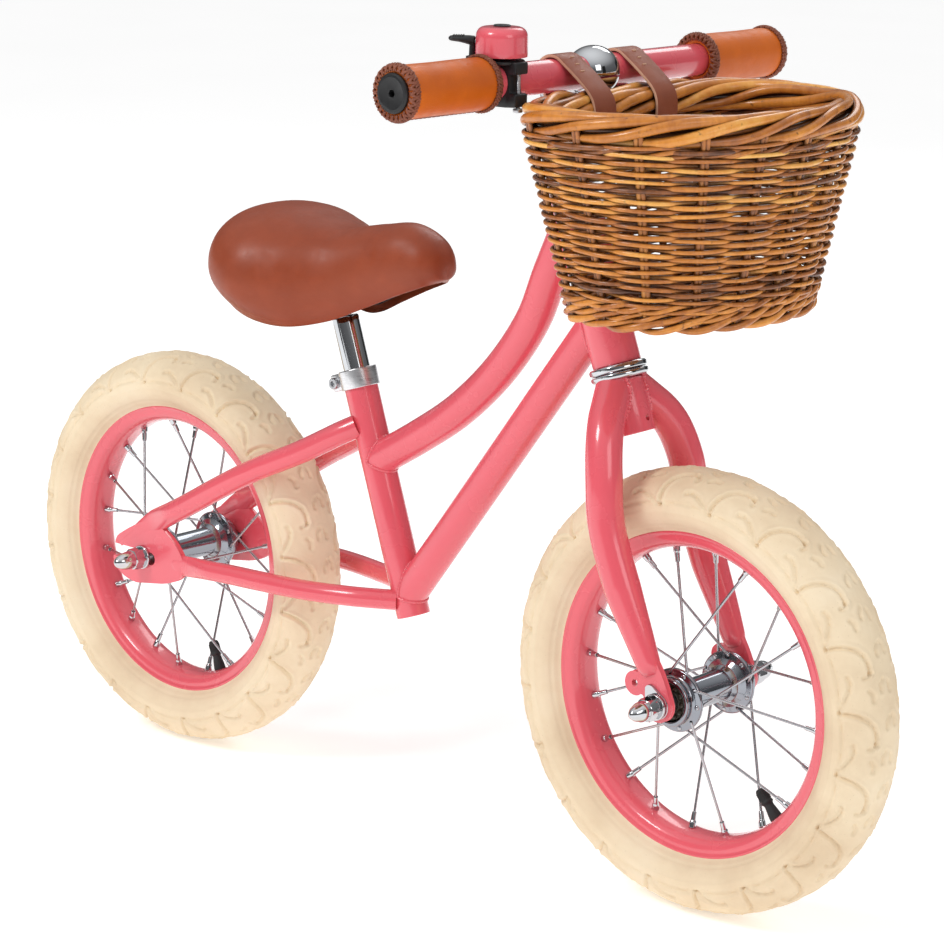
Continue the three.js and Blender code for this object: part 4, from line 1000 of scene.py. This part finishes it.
base = Shape().turned(eased([(0.3, foot - 2.4), (14.2, foot - 2.2), (15.6, foot - 1.4), (15.8, foot - 0.2),
                             (15.2, foot + 0.5), (3.2, foot + 0.6), (2.6, foot + 1.2),
                             (2.6, dome_top - 1.8), (2.8, dome_top - 0.4), (5.8, dome_top - 0.3),
                             (5.9, dome_top + 0.5), (5.2, dome_top + 1.0), (0.3, dome_top + 1.1)],
                            0.3, closed=False), bell, Z, 64, loop=False)
base = thing("bell_mount", base)
half_clamp = eased([(-14.6, -10), (-11, -15.4), (0, -16.4), (9, -16.2), (18.6, -15.4), (18.6, -6.6),
                    (13, -6.4), (12.4, 0), (12.4, 5.6), (18.6, 6.2), (18.6, 14.2), (9, 15.4), (-9, 15.4),
                    (-14.6, 10)], 1.4)
combine(base, thing("band", Shape().plate([(bell[0] + x, bell[2] + z) for x, z in half_clamp], BELL_Y - 6.2,
                                          BELL_Y + 6.2, 0.9)), "UNION")
combine(base, thing("bar_way",
                    Shape().turned([(BAR_R + 0.2, -30), (BAR_R + 0.2, 30)], bell, Y, 64, loop=False)))
screw_x = 15.6
screw_at = bell + screw_x * X
combine(base, thing("screw_way", Shape().turned([(1.9, -30), (1.9, 12)], screw_at, Z, 20, loop=False)))
pivot_angle = math.radians(215)
outward = np.array([math.cos(pivot_angle), math.sin(pivot_angle), 0])
pivot = 19.6 * outward
boss = Shape().turned(eased([(0.3, foot - 5.2), (4.0, foot - 5), (4.3, foot - 4), (4.3, foot - 0.8),
                             (0.3, foot - 0.5)], 0.3,
                            closed=False), bell + pivot, Z, 32, loop=False)
boss.sweep([bell + outward * 10 + (foot - 2.2) * Z, bell + outward * 20 + (foot - 2.6) * Z], 2.0, 16)
combine(base, thing("boss", boss), "UNION")
placed(base, "cockpit", black, "bell_base")
screw_rows = [(0.3, -19.4), (1.9, -19.4), (3.0, -19.0), (3.4, -18.2), (3.4, -17.2), (3.0, -16.6),
              (1.5, -16.6)]
for k in range(24):
    screw_rows += [(1.55, -16.2 + k), (1.25, -15.7 + k)]
screw_rows += [(0.3, 8.2)]
made("bell_screw", Shape().turned(screw_rows, screw_at, Z, 24, loop=False), "cockpit", steel,
     "bell_clamp_screw")

lever = Shape().turned(eased([(0.3, foot + 0.1), (4.2, foot + 0.1), (4.2, foot + 2), (2.2, foot + 2.6),
                              (1.9, foot + 13.4), (2.6, foot + 14.6), (0.3, foot + 15)], 0.3, closed=False),
                       bell + pivot, Z, 28, loop=False)
PADDLE_POINTS = 22
paddle = spline([outward * 18.5 + (foot + 12.2) * Z, outward * 23 + (foot + 12.9) * Z,
                 outward * 29 + (foot + 13.4) * Z, outward * 35.5 + (foot + 13.6) * Z],
                PADDLE_POINTS) + bell
paddle_at = [0, 5, 12, 18, 20, 21]
width = np.interp(np.arange(PADDLE_POINTS), paddle_at, [3.2, 4.2, 5.2, 5.0, 3.9, 1.6])
height = np.interp(np.arange(PADDLE_POINTS), paddle_at, [3.4, 3.0, 2.2, 1.9, 1.5, 0.7])
lever.sweep(paddle, np.stack([width, height], 1), 24, up=Z)
for k in range(9, 18, 2):
    middle = paddle[k] + Z * (height[k] + 0.05)
    wide = unit(np.cross(outward, Z)) * (width[k] * 0.66)
    lever.sweep([middle - wide, middle + wide], 0.45, 8)
lever.sweep([bell + outward * 8 + (foot + 1.3) * Z, bell + outward * 19 + (foot + 1.3) * Z], 0.9, 12)
lever.turned([(1.4, foot + 0.6), (2.0, foot + 1.2), (2.0, foot + 8.4), (1.4, foot + 9)], bell + outward * 8,
             Z, 20, loop=False)
made("bell_thumb_lever", lever, "bell_lever", black, "bell_lever")

# ------------------------------------------------------------ basket
TOP_Z, FOOT_Z, RIM_R = 570.0, 423.0, 12.0
PLAN_TOP = {"back": 160.0, "front": 336.0, "half": 128.0}
PLAN_FOOT = {"back": 189.0, "front": 310.0, "half": 97.0}


def plan(t, inset, angle):
    """Points round the basket, a rounded D, at share t of its height."""
    back = (1 - t) * PLAN_FOOT["back"] + t * PLAN_TOP["back"] + inset
    front = (1 - t) * PLAN_FOOT["front"] + t * PLAN_TOP["front"] - inset
    half = (1 - t) * PLAN_FOOT["half"] + t * PLAN_TOP["half"] - inset
    middle = back + (front - back) * 0.42
    c, s = np.cos(angle), np.sin(angle)
    power = np.where(c > 0, 0.92, 0.55)
    reach = np.where(c > 0, front - middle, middle - back)
    return np.stack([middle + np.sign(c) * reach * np.abs(c) ** power,
                     np.sign(s) * half * np.abs(s) ** power], -1)


def plan_frame(t, inset, angle):
    """Plan points with the outward direction at each."""
    p = plan(t, inset, angle)
    d = plan(t, inset, angle + 1e-3) - plan(t, inset, angle - 1e-3)
    n = np.stack([d[:, 1], -d[:, 0]], 1)
    n /= np.linalg.norm(n, axis=1)[:, None]
    return p, n


STAKES, ROD_ROWS, WALL_INSET = 16, 38, 4.0
ROD_R, STAKE_R = 1.62, 2.0
weave = Shape()
body_low, body_high = 439.0, 549.0
height_span = TOP_Z - 14 - FOOT_Z
# Angles that put points at even distances round the plan, half way up.
EVEN_STEPS = 2000
fine = np.linspace(0, TAU, EVEN_STEPS + 1)
steps = np.linalg.norm(np.diff(plan(0.5, WALL_INSET, fine), axis=0), axis=1)
travelled = np.concatenate([[0], np.cumsum(steps)])
EVEN = np.interp(np.arange(EVEN_STEPS + 1) / (EVEN_STEPS + 1) * travelled[-1], travelled, fine)
EVEN = np.unwrap(np.append(EVEN[:-1], EVEN[0] + TAU))


def angle_at(turn):
    """The angle at a share of the way round the basket."""
    return np.interp(np.atleast_1d(turn) * EVEN_STEPS, np.arange(EVEN_STEPS + 1), EVEN)


def share(z):
    return np.clip((z - FOOT_Z) / height_span, 0, 1)


def side_rod(z, phase, radius, tone, swing=3.0, count=288):
    """One rod woven round the basket at height z, in front of every other stake."""
    turn = np.arange(count) / count
    p, n = plan_frame(share(z), WALL_INSET, angle_at(turn))
    wave = np.cos(TAU * turn * STAKES / 2 + phase)
    depth = swing * np.sign(wave) * np.abs(wave) ** 0.75
    slow = 0.6 * np.sin(TAU * turn * 3 + rng.uniform(0, TAU))
    quick = 0.45 * np.sin(TAU * turn * 8 + rng.uniform(0, TAU))
    path = np.column_stack([p + n * depth[:, None], z + (slow + quick)])
    size = radius * (1 + 0.10 * np.sin(TAU * turn * 2 + rng.uniform(0, TAU)))
    weave.sweep(path, size, 10, up=Z, loop=True, tone=tone, start=rng.uniform(0, 9000))


for k in range(ROD_ROWS):
    z = body_low + (body_high - body_low) * k / (ROD_ROWS - 1)
    tone = float(np.clip(rng.normal(0.58, 0.17), 0.15, 0.95))
    side_rod(z, math.pi * (k % 2), ROD_R * rng.uniform(0.88, 1.12), tone)
# Butt ends of rods that were joined inside the weave.
for k in range(46):
    z = rng.uniform(body_low, body_high)
    p, n = plan_frame(share(z), WALL_INSET, angle_at(rng.uniform(0, 1)))
    tangent = np.array([-n[0][1], n[0][0]])
    start = np.array([*(p[0] - n[0] * 3.5), z])
    step = np.array([*(tangent * rng.uniform(4, 8) - n[0] * 2.2), rng.uniform(-1.5, 1.5)])
    weave.sweep([start, start + step * 0.5, start + step], ROD_R * 0.85, 9, tone=rng.uniform(0.3, 0.8))

# Upright stakes, in pairs.
for k in range(STAKES):
    for lean in (-0.5, 0.5):
        angle = angle_at((k / STAKES + lean * 0.0042) % 1.0)
        path = []
        for z in np.linspace(FOOT_Z + 5, TOP_Z - 12, 16):
            p, n = plan_frame(share(z), WALL_INSET, angle)
            path.append([*p[0], z])
        weave.sweep(path, STAKE_R * rng.uniform(0.88, 1.05), 10, up=np.array([*n[0], 0]),
                    tone=float(rng.uniform(0.35, 0.7)), start=rng.uniform(0, 9000))


def twisted(z, inset, ring_r, rod_r, strands, turns, tones, share_at=None, wobble=0.5, count=640):
    """Rods twisted together into a border round the basket."""
    turn = np.arange(count) / count
    p, n = plan_frame(share(z) if share_at is None else share_at, inset, angle_at(turn))
    for k in range(strands):
        around = TAU * k / strands + TAU * turns * turn
        around = around + 0.22 * np.sin(TAU * turn * 5 + k * 2.1)
        r = ring_r * (1 + 0.10 * np.sin(TAU * turn * 4 + k * 1.7))
        bob = wobble * np.sin(TAU * turn * 9 + rng.uniform(0, TAU))
        path = np.column_stack([p + n * (r * np.cos(around))[:, None], z + r * np.sin(around) + bob])
        size = rod_r * (1 + 0.12 * np.sin(TAU * turn * 3 + rng.uniform(0, TAU)))
        weave.sweep(path, size, 12, up=Z, loop=True, tone=float(rng.uniform(*tones)),
                    start=rng.uniform(0, 9000))


# The rolled top border, two waling bands and the foot.
twisted(TOP_Z - RIM_R, 12.0, 8.6, 3.5, 8, 2, (0.5, 0.85), share_at=1.0)
twisted(TOP_Z - RIM_R, 12.0, 3.0, 2.9, 3, 3, (0.25, 0.45), share_at=1.0, wobble=0.1)
twisted(TOP_Z - RIM_R - 13.0, 5.0, 2.0, 1.9, 3, 12, (0.4, 0.7), wobble=0.2)
twisted(body_low - 4.6, 4.0, 2.4, 2.0, 3, 11, (0.45, 0.75), wobble=0.2)
twisted(body_low + 1.2, 3.6, 2.3, 1.9, 3, 10, (0.45, 0.75), wobble=0.2)
twisted(FOOT_Z + 6.0, 4.5, 3.4, 2.5, 3, 7, (0.5, 0.75), wobble=0.3)

# The woven floor: ribs across it and rods that go over and under them.
ribs = np.linspace(-82, 82, 9)
FLOOR_POINTS, floor_z = 130, FOOT_Z + 8.5
centre_x = 0.5 * (PLAN_FOOT["back"] + PLAN_FOOT["front"])
outline = plan(0.03, 5.0, np.linspace(0, TAU, 721))
for y in ribs:
    near = outline[np.abs(outline[:, 1] - y) < 3.0][:, 0]
    weave.sweep([(near.min(), y, floor_z), (centre_x, y, floor_z - 0.3), (near.max(), y, floor_z)], 2.2, 10,
                tone=float(rng.uniform(0.35, 0.6)))
for k, x in enumerate(np.arange(PLAN_FOOT["back"] + 9, PLAN_FOOT["front"] - 6, 3.9)):
    near = outline[np.abs(outline[:, 0] - x) < 2.0][:, 1]
    ys = np.linspace(near.min() + 1, near.max() - 1, FLOOR_POINTS)
    wave = 2.1 * np.cos((ys - ribs[0]) / (ribs[1] - ribs[0]) * math.pi + math.pi * (k % 2))
    weave.sweep(np.column_stack([np.full(FLOOR_POINTS, x), ys, floor_z + wave]), 1.8, 9, up=Z,
                tone=float(np.clip(rng.normal(0.5, 0.13), 0.2, 0.85)), start=rng.uniform(0, 9000))
made("wicker_basket", weave, "cockpit", wicker, "basket", 60)

# ------------------------------------------------------------ basket straps
STRAP_Y, STRAP_W, STRAP_T = 33.0, 22.0, 2.3
strap_r = BAR_R + 0.8 + STRAP_T / 2
loop_points = [(BAR[0] + strap_r * math.cos(a), BAR[2] + strap_r * math.sin(a))
               for a in np.linspace(math.radians(186), math.radians(50), 26)]
inner_x, outer_x, low_z = PLAN_TOP["back"] + 26.2, PLAN_TOP["back"] - 13.2, TOP_Z - 35.2
loop_points += [(inner_x - 19.2, TOP_Z + 9.3), (inner_x - 11.2, TOP_Z + 3.2), (inner_x - 5.7, TOP_Z - 1.4),
                (inner_x - 2.0, TOP_Z - 6.2), (inner_x, TOP_Z - 12.5), (inner_x, low_z + 6),
                (inner_x - 6, low_z), (outer_x + 6, low_z), (outer_x, low_z + 6),
                (outer_x - 1.6, TOP_Z - 12)]
centre_line = eased(loop_points, 5.0, steps=4)
half_w, half_t = STRAP_W / 2, STRAP_T / 2
section = eased([(-half_w, -half_t), (half_w, -half_t), (half_w, half_t), (-half_w, half_t)], 0.6, steps=2)
# The faces along the cut edges of the leather have a paler surface.
columns = len(section)
edge_columns = {k for k, (u, v) in enumerate(section)
                if abs(section[(k + 1) % columns][0] - u) < 0.4 and abs(u) > half_w - 0.7}
for side, name in SIDES:
    line = resample([(x, side * STRAP_Y, z) for x, z in centre_line], 240, closed=True)
    t = np.roll(line, -1, 0) - np.roll(line, 1, 0)
    t /= np.linalg.norm(t, axis=1)[:, None]
    out = np.cross(t, Y)
    rows = np.array([[p + Y * u + o * v for u, v in section] for p, o in zip(line, out)])
    band = Shape().grid(rows, loop=True)
    band.slots = [1 if k % columns in edge_columns else 0 for k in range(len(band.slots))]
    # Three short stitches down the middle of each strap, where it leaves the bar.
    bar_middle = np.array([BAR[0], side * STRAP_Y, BAR[2]])
    for k in range(3):
        goal = bar_middle + np.array([8.0 + 7.5 * k, 0, 14.0 - 2.4 * k])
        s = int(np.argmin(np.linalg.norm(line - goal, axis=1)))
        outward = out[s] if out[s] @ (line[s] - bar_middle) > 0 else -out[s]
        spot = line[s] + outward * (half_t + 0.05) + Y * (2.0 - 1.6 * k)
        band.sweep([spot - Y * 1.7, spot + Y * 1.7], 0.6, 8, slot=1)
    made(f"basket_strap_leather_{name}", band, "cockpit", [strap, strap_edge], f"basket_strap_{name}",
         40)

# ------------------------------------------------------------ saddle
# Stations along the saddle: place, half width, height of the top and height of the lower edge.
stations = np.array([
    (-195.2, 7, 418, 409), (-193.4, 20, 425.5, 402.5), (-187, 44, 436, 393), (-168, 66, 448, 380),
    (-140, 73, 450, 370), (-110, 62.5, 445, 366), (-80, 43, 441, 372), (-50, 32, 446, 385),
    (-20, 26, 450, 398.5), (2, 20.5, 442, 407.5), (12, 12, 431, 412), (14.4, 5.5, 424, 413.5),
])
curves = {k: spline(np.column_stack([stations[:, 0], stations[:, k], np.zeros(len(stations))]), 400)
          for k in (1, 2, 3)}


def saddle_ring(x, inset, ceiling, tuck_degrees, count, drop=0.0):
    """Half of the saddle's section, from one lower edge over the top to the other."""
    w, top, edge = (np.interp(x, curves[k][:, 0], curves[k][:, 1]) for k in (1, 2, 3))
    waist = edge + (top - edge) * 0.38
    rise = top - ceiling - waist
    half = max(w - inset, 0.02)
    tuck = math.radians(tuck_degrees)
    a = np.linspace(-tuck, math.pi + tuck, count)
    c, s = np.cos(a), np.sin(a)
    lift = np.where(s > 0, rise * np.abs(s) ** 0.94, (waist - edge) * s / math.sin(tuck))
    return np.column_stack([np.full(count, x), np.sign(c) * half * np.abs(c) ** 0.85, waist + lift - drop])


def saddle_closing(x):
    """0 where the underside is open, rising to 1 at the nose and the tail, where it closes."""
    near = min(max((x - 1) / 9, (-184 - x) / 8, 0), 1)
    return near * near * (3 - 2 * near)


xs = np.concatenate([np.linspace(-195.2, -180, 20), np.linspace(-178, 0, 76), np.linspace(0.9, 14.4, 22)])
rows = []
for x in xs:
    closing = saddle_closing(x)
    shell = saddle_ring(x, 0, 0, 50 + 40 * closing, 61)
    under = saddle_ring(x, 4.5 + 2.8 * closing, 4.5, 42 + 44 * closing, 41, -3 * closing)[::-1]
    rows.append(np.concatenate([shell, under]))
cover = Shape().grid(np.array(rows), caps=True)
made("saddle_cover_skin", cover, "saddle", saddle_skin, "saddle_cover", 70)

rows = []
for x in np.linspace(-178, 1, 70):
    outer_arc = saddle_ring(x, 5.0, 10.5, 50, 41, -6.0)
    inner_arc = saddle_ring(x, 9.0, 15.5, 50, 41, -6.0)[::-1]
    rows.append(np.concatenate([outer_arc, inner_arc]))
shell = Shape().grid(np.array(rows))
made("saddle_base_shell", shell, "saddle", black, "saddle_base", 60)

post_top = on_seat(0, 0, 56)
rail_z = post_top[2] + 5
rails = Shape()
for side in (1, -1):
    route = [(-160, side * 20, 441), (-157, side * 20, 422), (-146, side * 20, 403),
             (-128, side * 18, rail_z), (post_top[0] - 18, side * 14, rail_z),
             (post_top[0] + 18, side * 14, rail_z), (-52, side * 9, rail_z + 4), (-41, side * 5, 408),
             (-35, side * 4, 423), (-33, side * 4, 441)]
    rails.sweep(spline(route, 90), 3.3, 20)
made("saddle_rail_wires", rails, "saddle", steel, "saddle_rails")

px, pz = post_top[0], post_top[2]
block = thing("saddle_clamp_block", box_shape((px - 11, -23, pz - 6), (px + 11, 23, pz + 11), 1.8))
bolt_ends = Shape().turned(eased([(0.3, -27.5), (4.2, -27.5), (5.2, -26.6), (5.2, 26.6), (4.2, 27.5),
                                  (0.3, 27.5)], 0.3,
                                 closed=False), post_top, Y, 36, loop=False)
combine(block, thing("bolt_ends", bolt_ends), "UNION")
rooms = Shape()
for y in (14, -14):
    rooms.turned([(3.6, -40), (3.6, 40)], (px, y, rail_z), X, 28, loop=False)
rooms.turned([(8.5, -8.1), (8.5, 8.1)], post_top, Y, 48, loop=False)
combine(block, thing("rooms", rooms))
combine(block, thing("neck_room", box_shape((px - 9.2, -7.4, pz - 8), (px + 9.2, 7.4, pz), 0.2)))
placed(block, "saddle", steel, "saddle_clamp")

post = Shape().turned(eased([(8.7, -95), (10.2, -95), (10.2, 41), (9.4, 42), (5, 42.4), (5, 52), (0.3, 52),
                             (0.3, 37), (8.7, 37)], 0.6, closed=False), SEAT_TOP, SEAT_UP, 72, loop=True)
post.turned(eased([(0.3, -7.5), (8, -7.5), (8, 7.5), (0.3, 7.5)], 0.5, closed=False), post_top, Y, 48,
            loop=False)
made("seat_post_tube", post, "seat_post", chrome, "seat_post")

# ------------------------------------------------------------ studio
def studio_plane(name, centre, size, facing, colour, hidden=False):
    me = bpy.data.meshes.new(name)
    a = Vector(facing).normalized()
    u = a.orthogonal().normalized() if abs(a.z) > 0.99 else a.cross(Vector((0, 0, 1))).normalized()
    v = a.cross(u)
    c = Vector(centre)
    corners = [c - u * size[0] - v * size[1], c + u * size[0] - v * size[1], c + u * size[0] + v * size[1],
               c - u * size[0] + v * size[1]]
    me.from_pydata([tuple(p) for p in corners], [], [(0, 1, 2, 3)])
    obj = bpy.data.objects.new(name, me)
    bpy.context.scene.collection.objects.link(obj)
    s = Surface(name + "_surface")
    s.link(s.ramp(s.noise(3, 2), [(0.3, tuple(0.985 * x for x in colour)), (0.7, colour)]), "Base Color")
    s.shader.inputs["Roughness"].default_value = 0.9
    s.shader.inputs["Specular IOR Level"].default_value = 0.0
    me.materials.append(s.material)
    if hidden:
        obj.visible_camera = obj.visible_diffuse = obj.visible_shadow = False
    return obj


floor = studio_plane("floor", (0, 0, -0.0006), (14, 14), (0, 0, 1), (0.985, 0.985, 0.985))
floor_shader = floor.data.materials[0].node_tree.nodes["Principled BSDF"]
floor_shader.inputs["Emission Color"].default_value = (1, 1, 1, 1)
floor_shader.inputs["Emission Strength"].default_value = 0.31
studio_plane("dark_card_left", (-1.6, -2.4, 0.7), (0.28, 1.1), (0.5, 0.85, 0), (0.02, 0.02, 0.02), True)
studio_plane("dark_card_right", (2.6, 0.5, 0.6), (0.30, 1.1), (-1, -0.2, 0), (0.02, 0.02, 0.02), True)
studio_plane("dark_card_back", (0.4, 2.4, 0.5), (0.5, 0.8), (0, -1, 0), (0.03, 0.03, 0.03), True)


def light(name, place, target, size, power):
    data = bpy.data.lights.new(name, "AREA")
    data.shape = "RECTANGLE"
    data.size, data.size_y = size
    data.energy = power
    obj = bpy.data.objects.new(name, data)
    bpy.context.scene.collection.objects.link(obj)
    obj.location = place
    obj.rotation_euler = (Vector(target) - Vector(place)).to_track_quat("-Z", "Y").to_euler()
    return obj


light("key", (-0.6, -2.2, 2.4), (0, 0, 0.3), (0.8, 0.8), 31)
light("fill", (2.6, -0.6, 1.6), (0, 0, 0.3), (1.1, 1.1), 9)
light("back", (-0.8, 2.2, 2.2), (0, 0, 0.3), (1.3, 0.9), 11)

# The air is white to the camera and soft to rough surfaces. Shiny surfaces see bands of grey.
world = bpy.data.worlds.new("studio_air")
bpy.context.scene.world = world
world.use_nodes = True
air = world.node_tree
background = air.nodes["Background"]
background.inputs["Color"].default_value = (1, 1, 1, 1)
background.inputs["Strength"].default_value = 1.0
soft = add_node(air, "Background", {"Strength": 0.82})
direction = add_node(air, "TexCoord").outputs["Generated"]
upward = add_node(air, "SeparateXYZ", {0: direction}).outputs[2]
half_up = add_node(air, "Math", {0: upward, 1: 0.5, 2: 0.5}, operation="MULTIPLY_ADD").outputs[0]
ramp = add_node(air, "ValToRGB", {"Fac": half_up})
for element, (at, level) in zip([ramp.color_ramp.elements[0], ramp.color_ramp.elements[1],
                                 ramp.color_ramp.elements.new(0.6), ramp.color_ramp.elements.new(0.72)],
                                [(0.40, 0.75), (1.0, 0.85), (0.5, 0.10), (0.66, 0.16)]):
    element.position = at
    element.color = (level, level, level * 1.02, 1)
gloss = add_node(air, "Background", {"Color": ramp.outputs["Color"]})
rays = add_node(air, "LightPath")
shiny = add_node(air, "MixShader",
                 {"Fac": rays.outputs["Is Glossy Ray"], 1: soft.outputs[0], 2: gloss.outputs[0]})
seen = add_node(air, "MixShader", {"Fac": rays.outputs["Is Camera Ray"], 1: shiny.outputs[0],
                                   2: background.outputs[0]})
air.links.new(seen.outputs[0], air.nodes["World Output"].inputs["Surface"])
bpy.context.scene.view_settings.view_transform = "Standard"
bpy.context.scene.view_settings.look = "None"

camera_data = bpy.data.cameras.new("camera")
camera_data.lens = 118.88
camera_data.sensor_width = 36
camera_data.clip_start, camera_data.clip_end = 0.05, 60
camera = bpy.data.objects.new("camera", camera_data)
bpy.context.scene.collection.objects.link(camera)
right, up, ahead = (0.7385, 0.6740, 0.0202), (-0.1769, 0.1648, 0.9704), (-0.6507, 0.7201, -0.2409)
turn = Matrix((right, up, tuple(-x for x in ahead))).transposed().to_4x4()
camera.matrix_world = Matrix.Translation((1.5264, -1.6423, 0.8239)) @ turn
bpy.context.scene.camera = camera
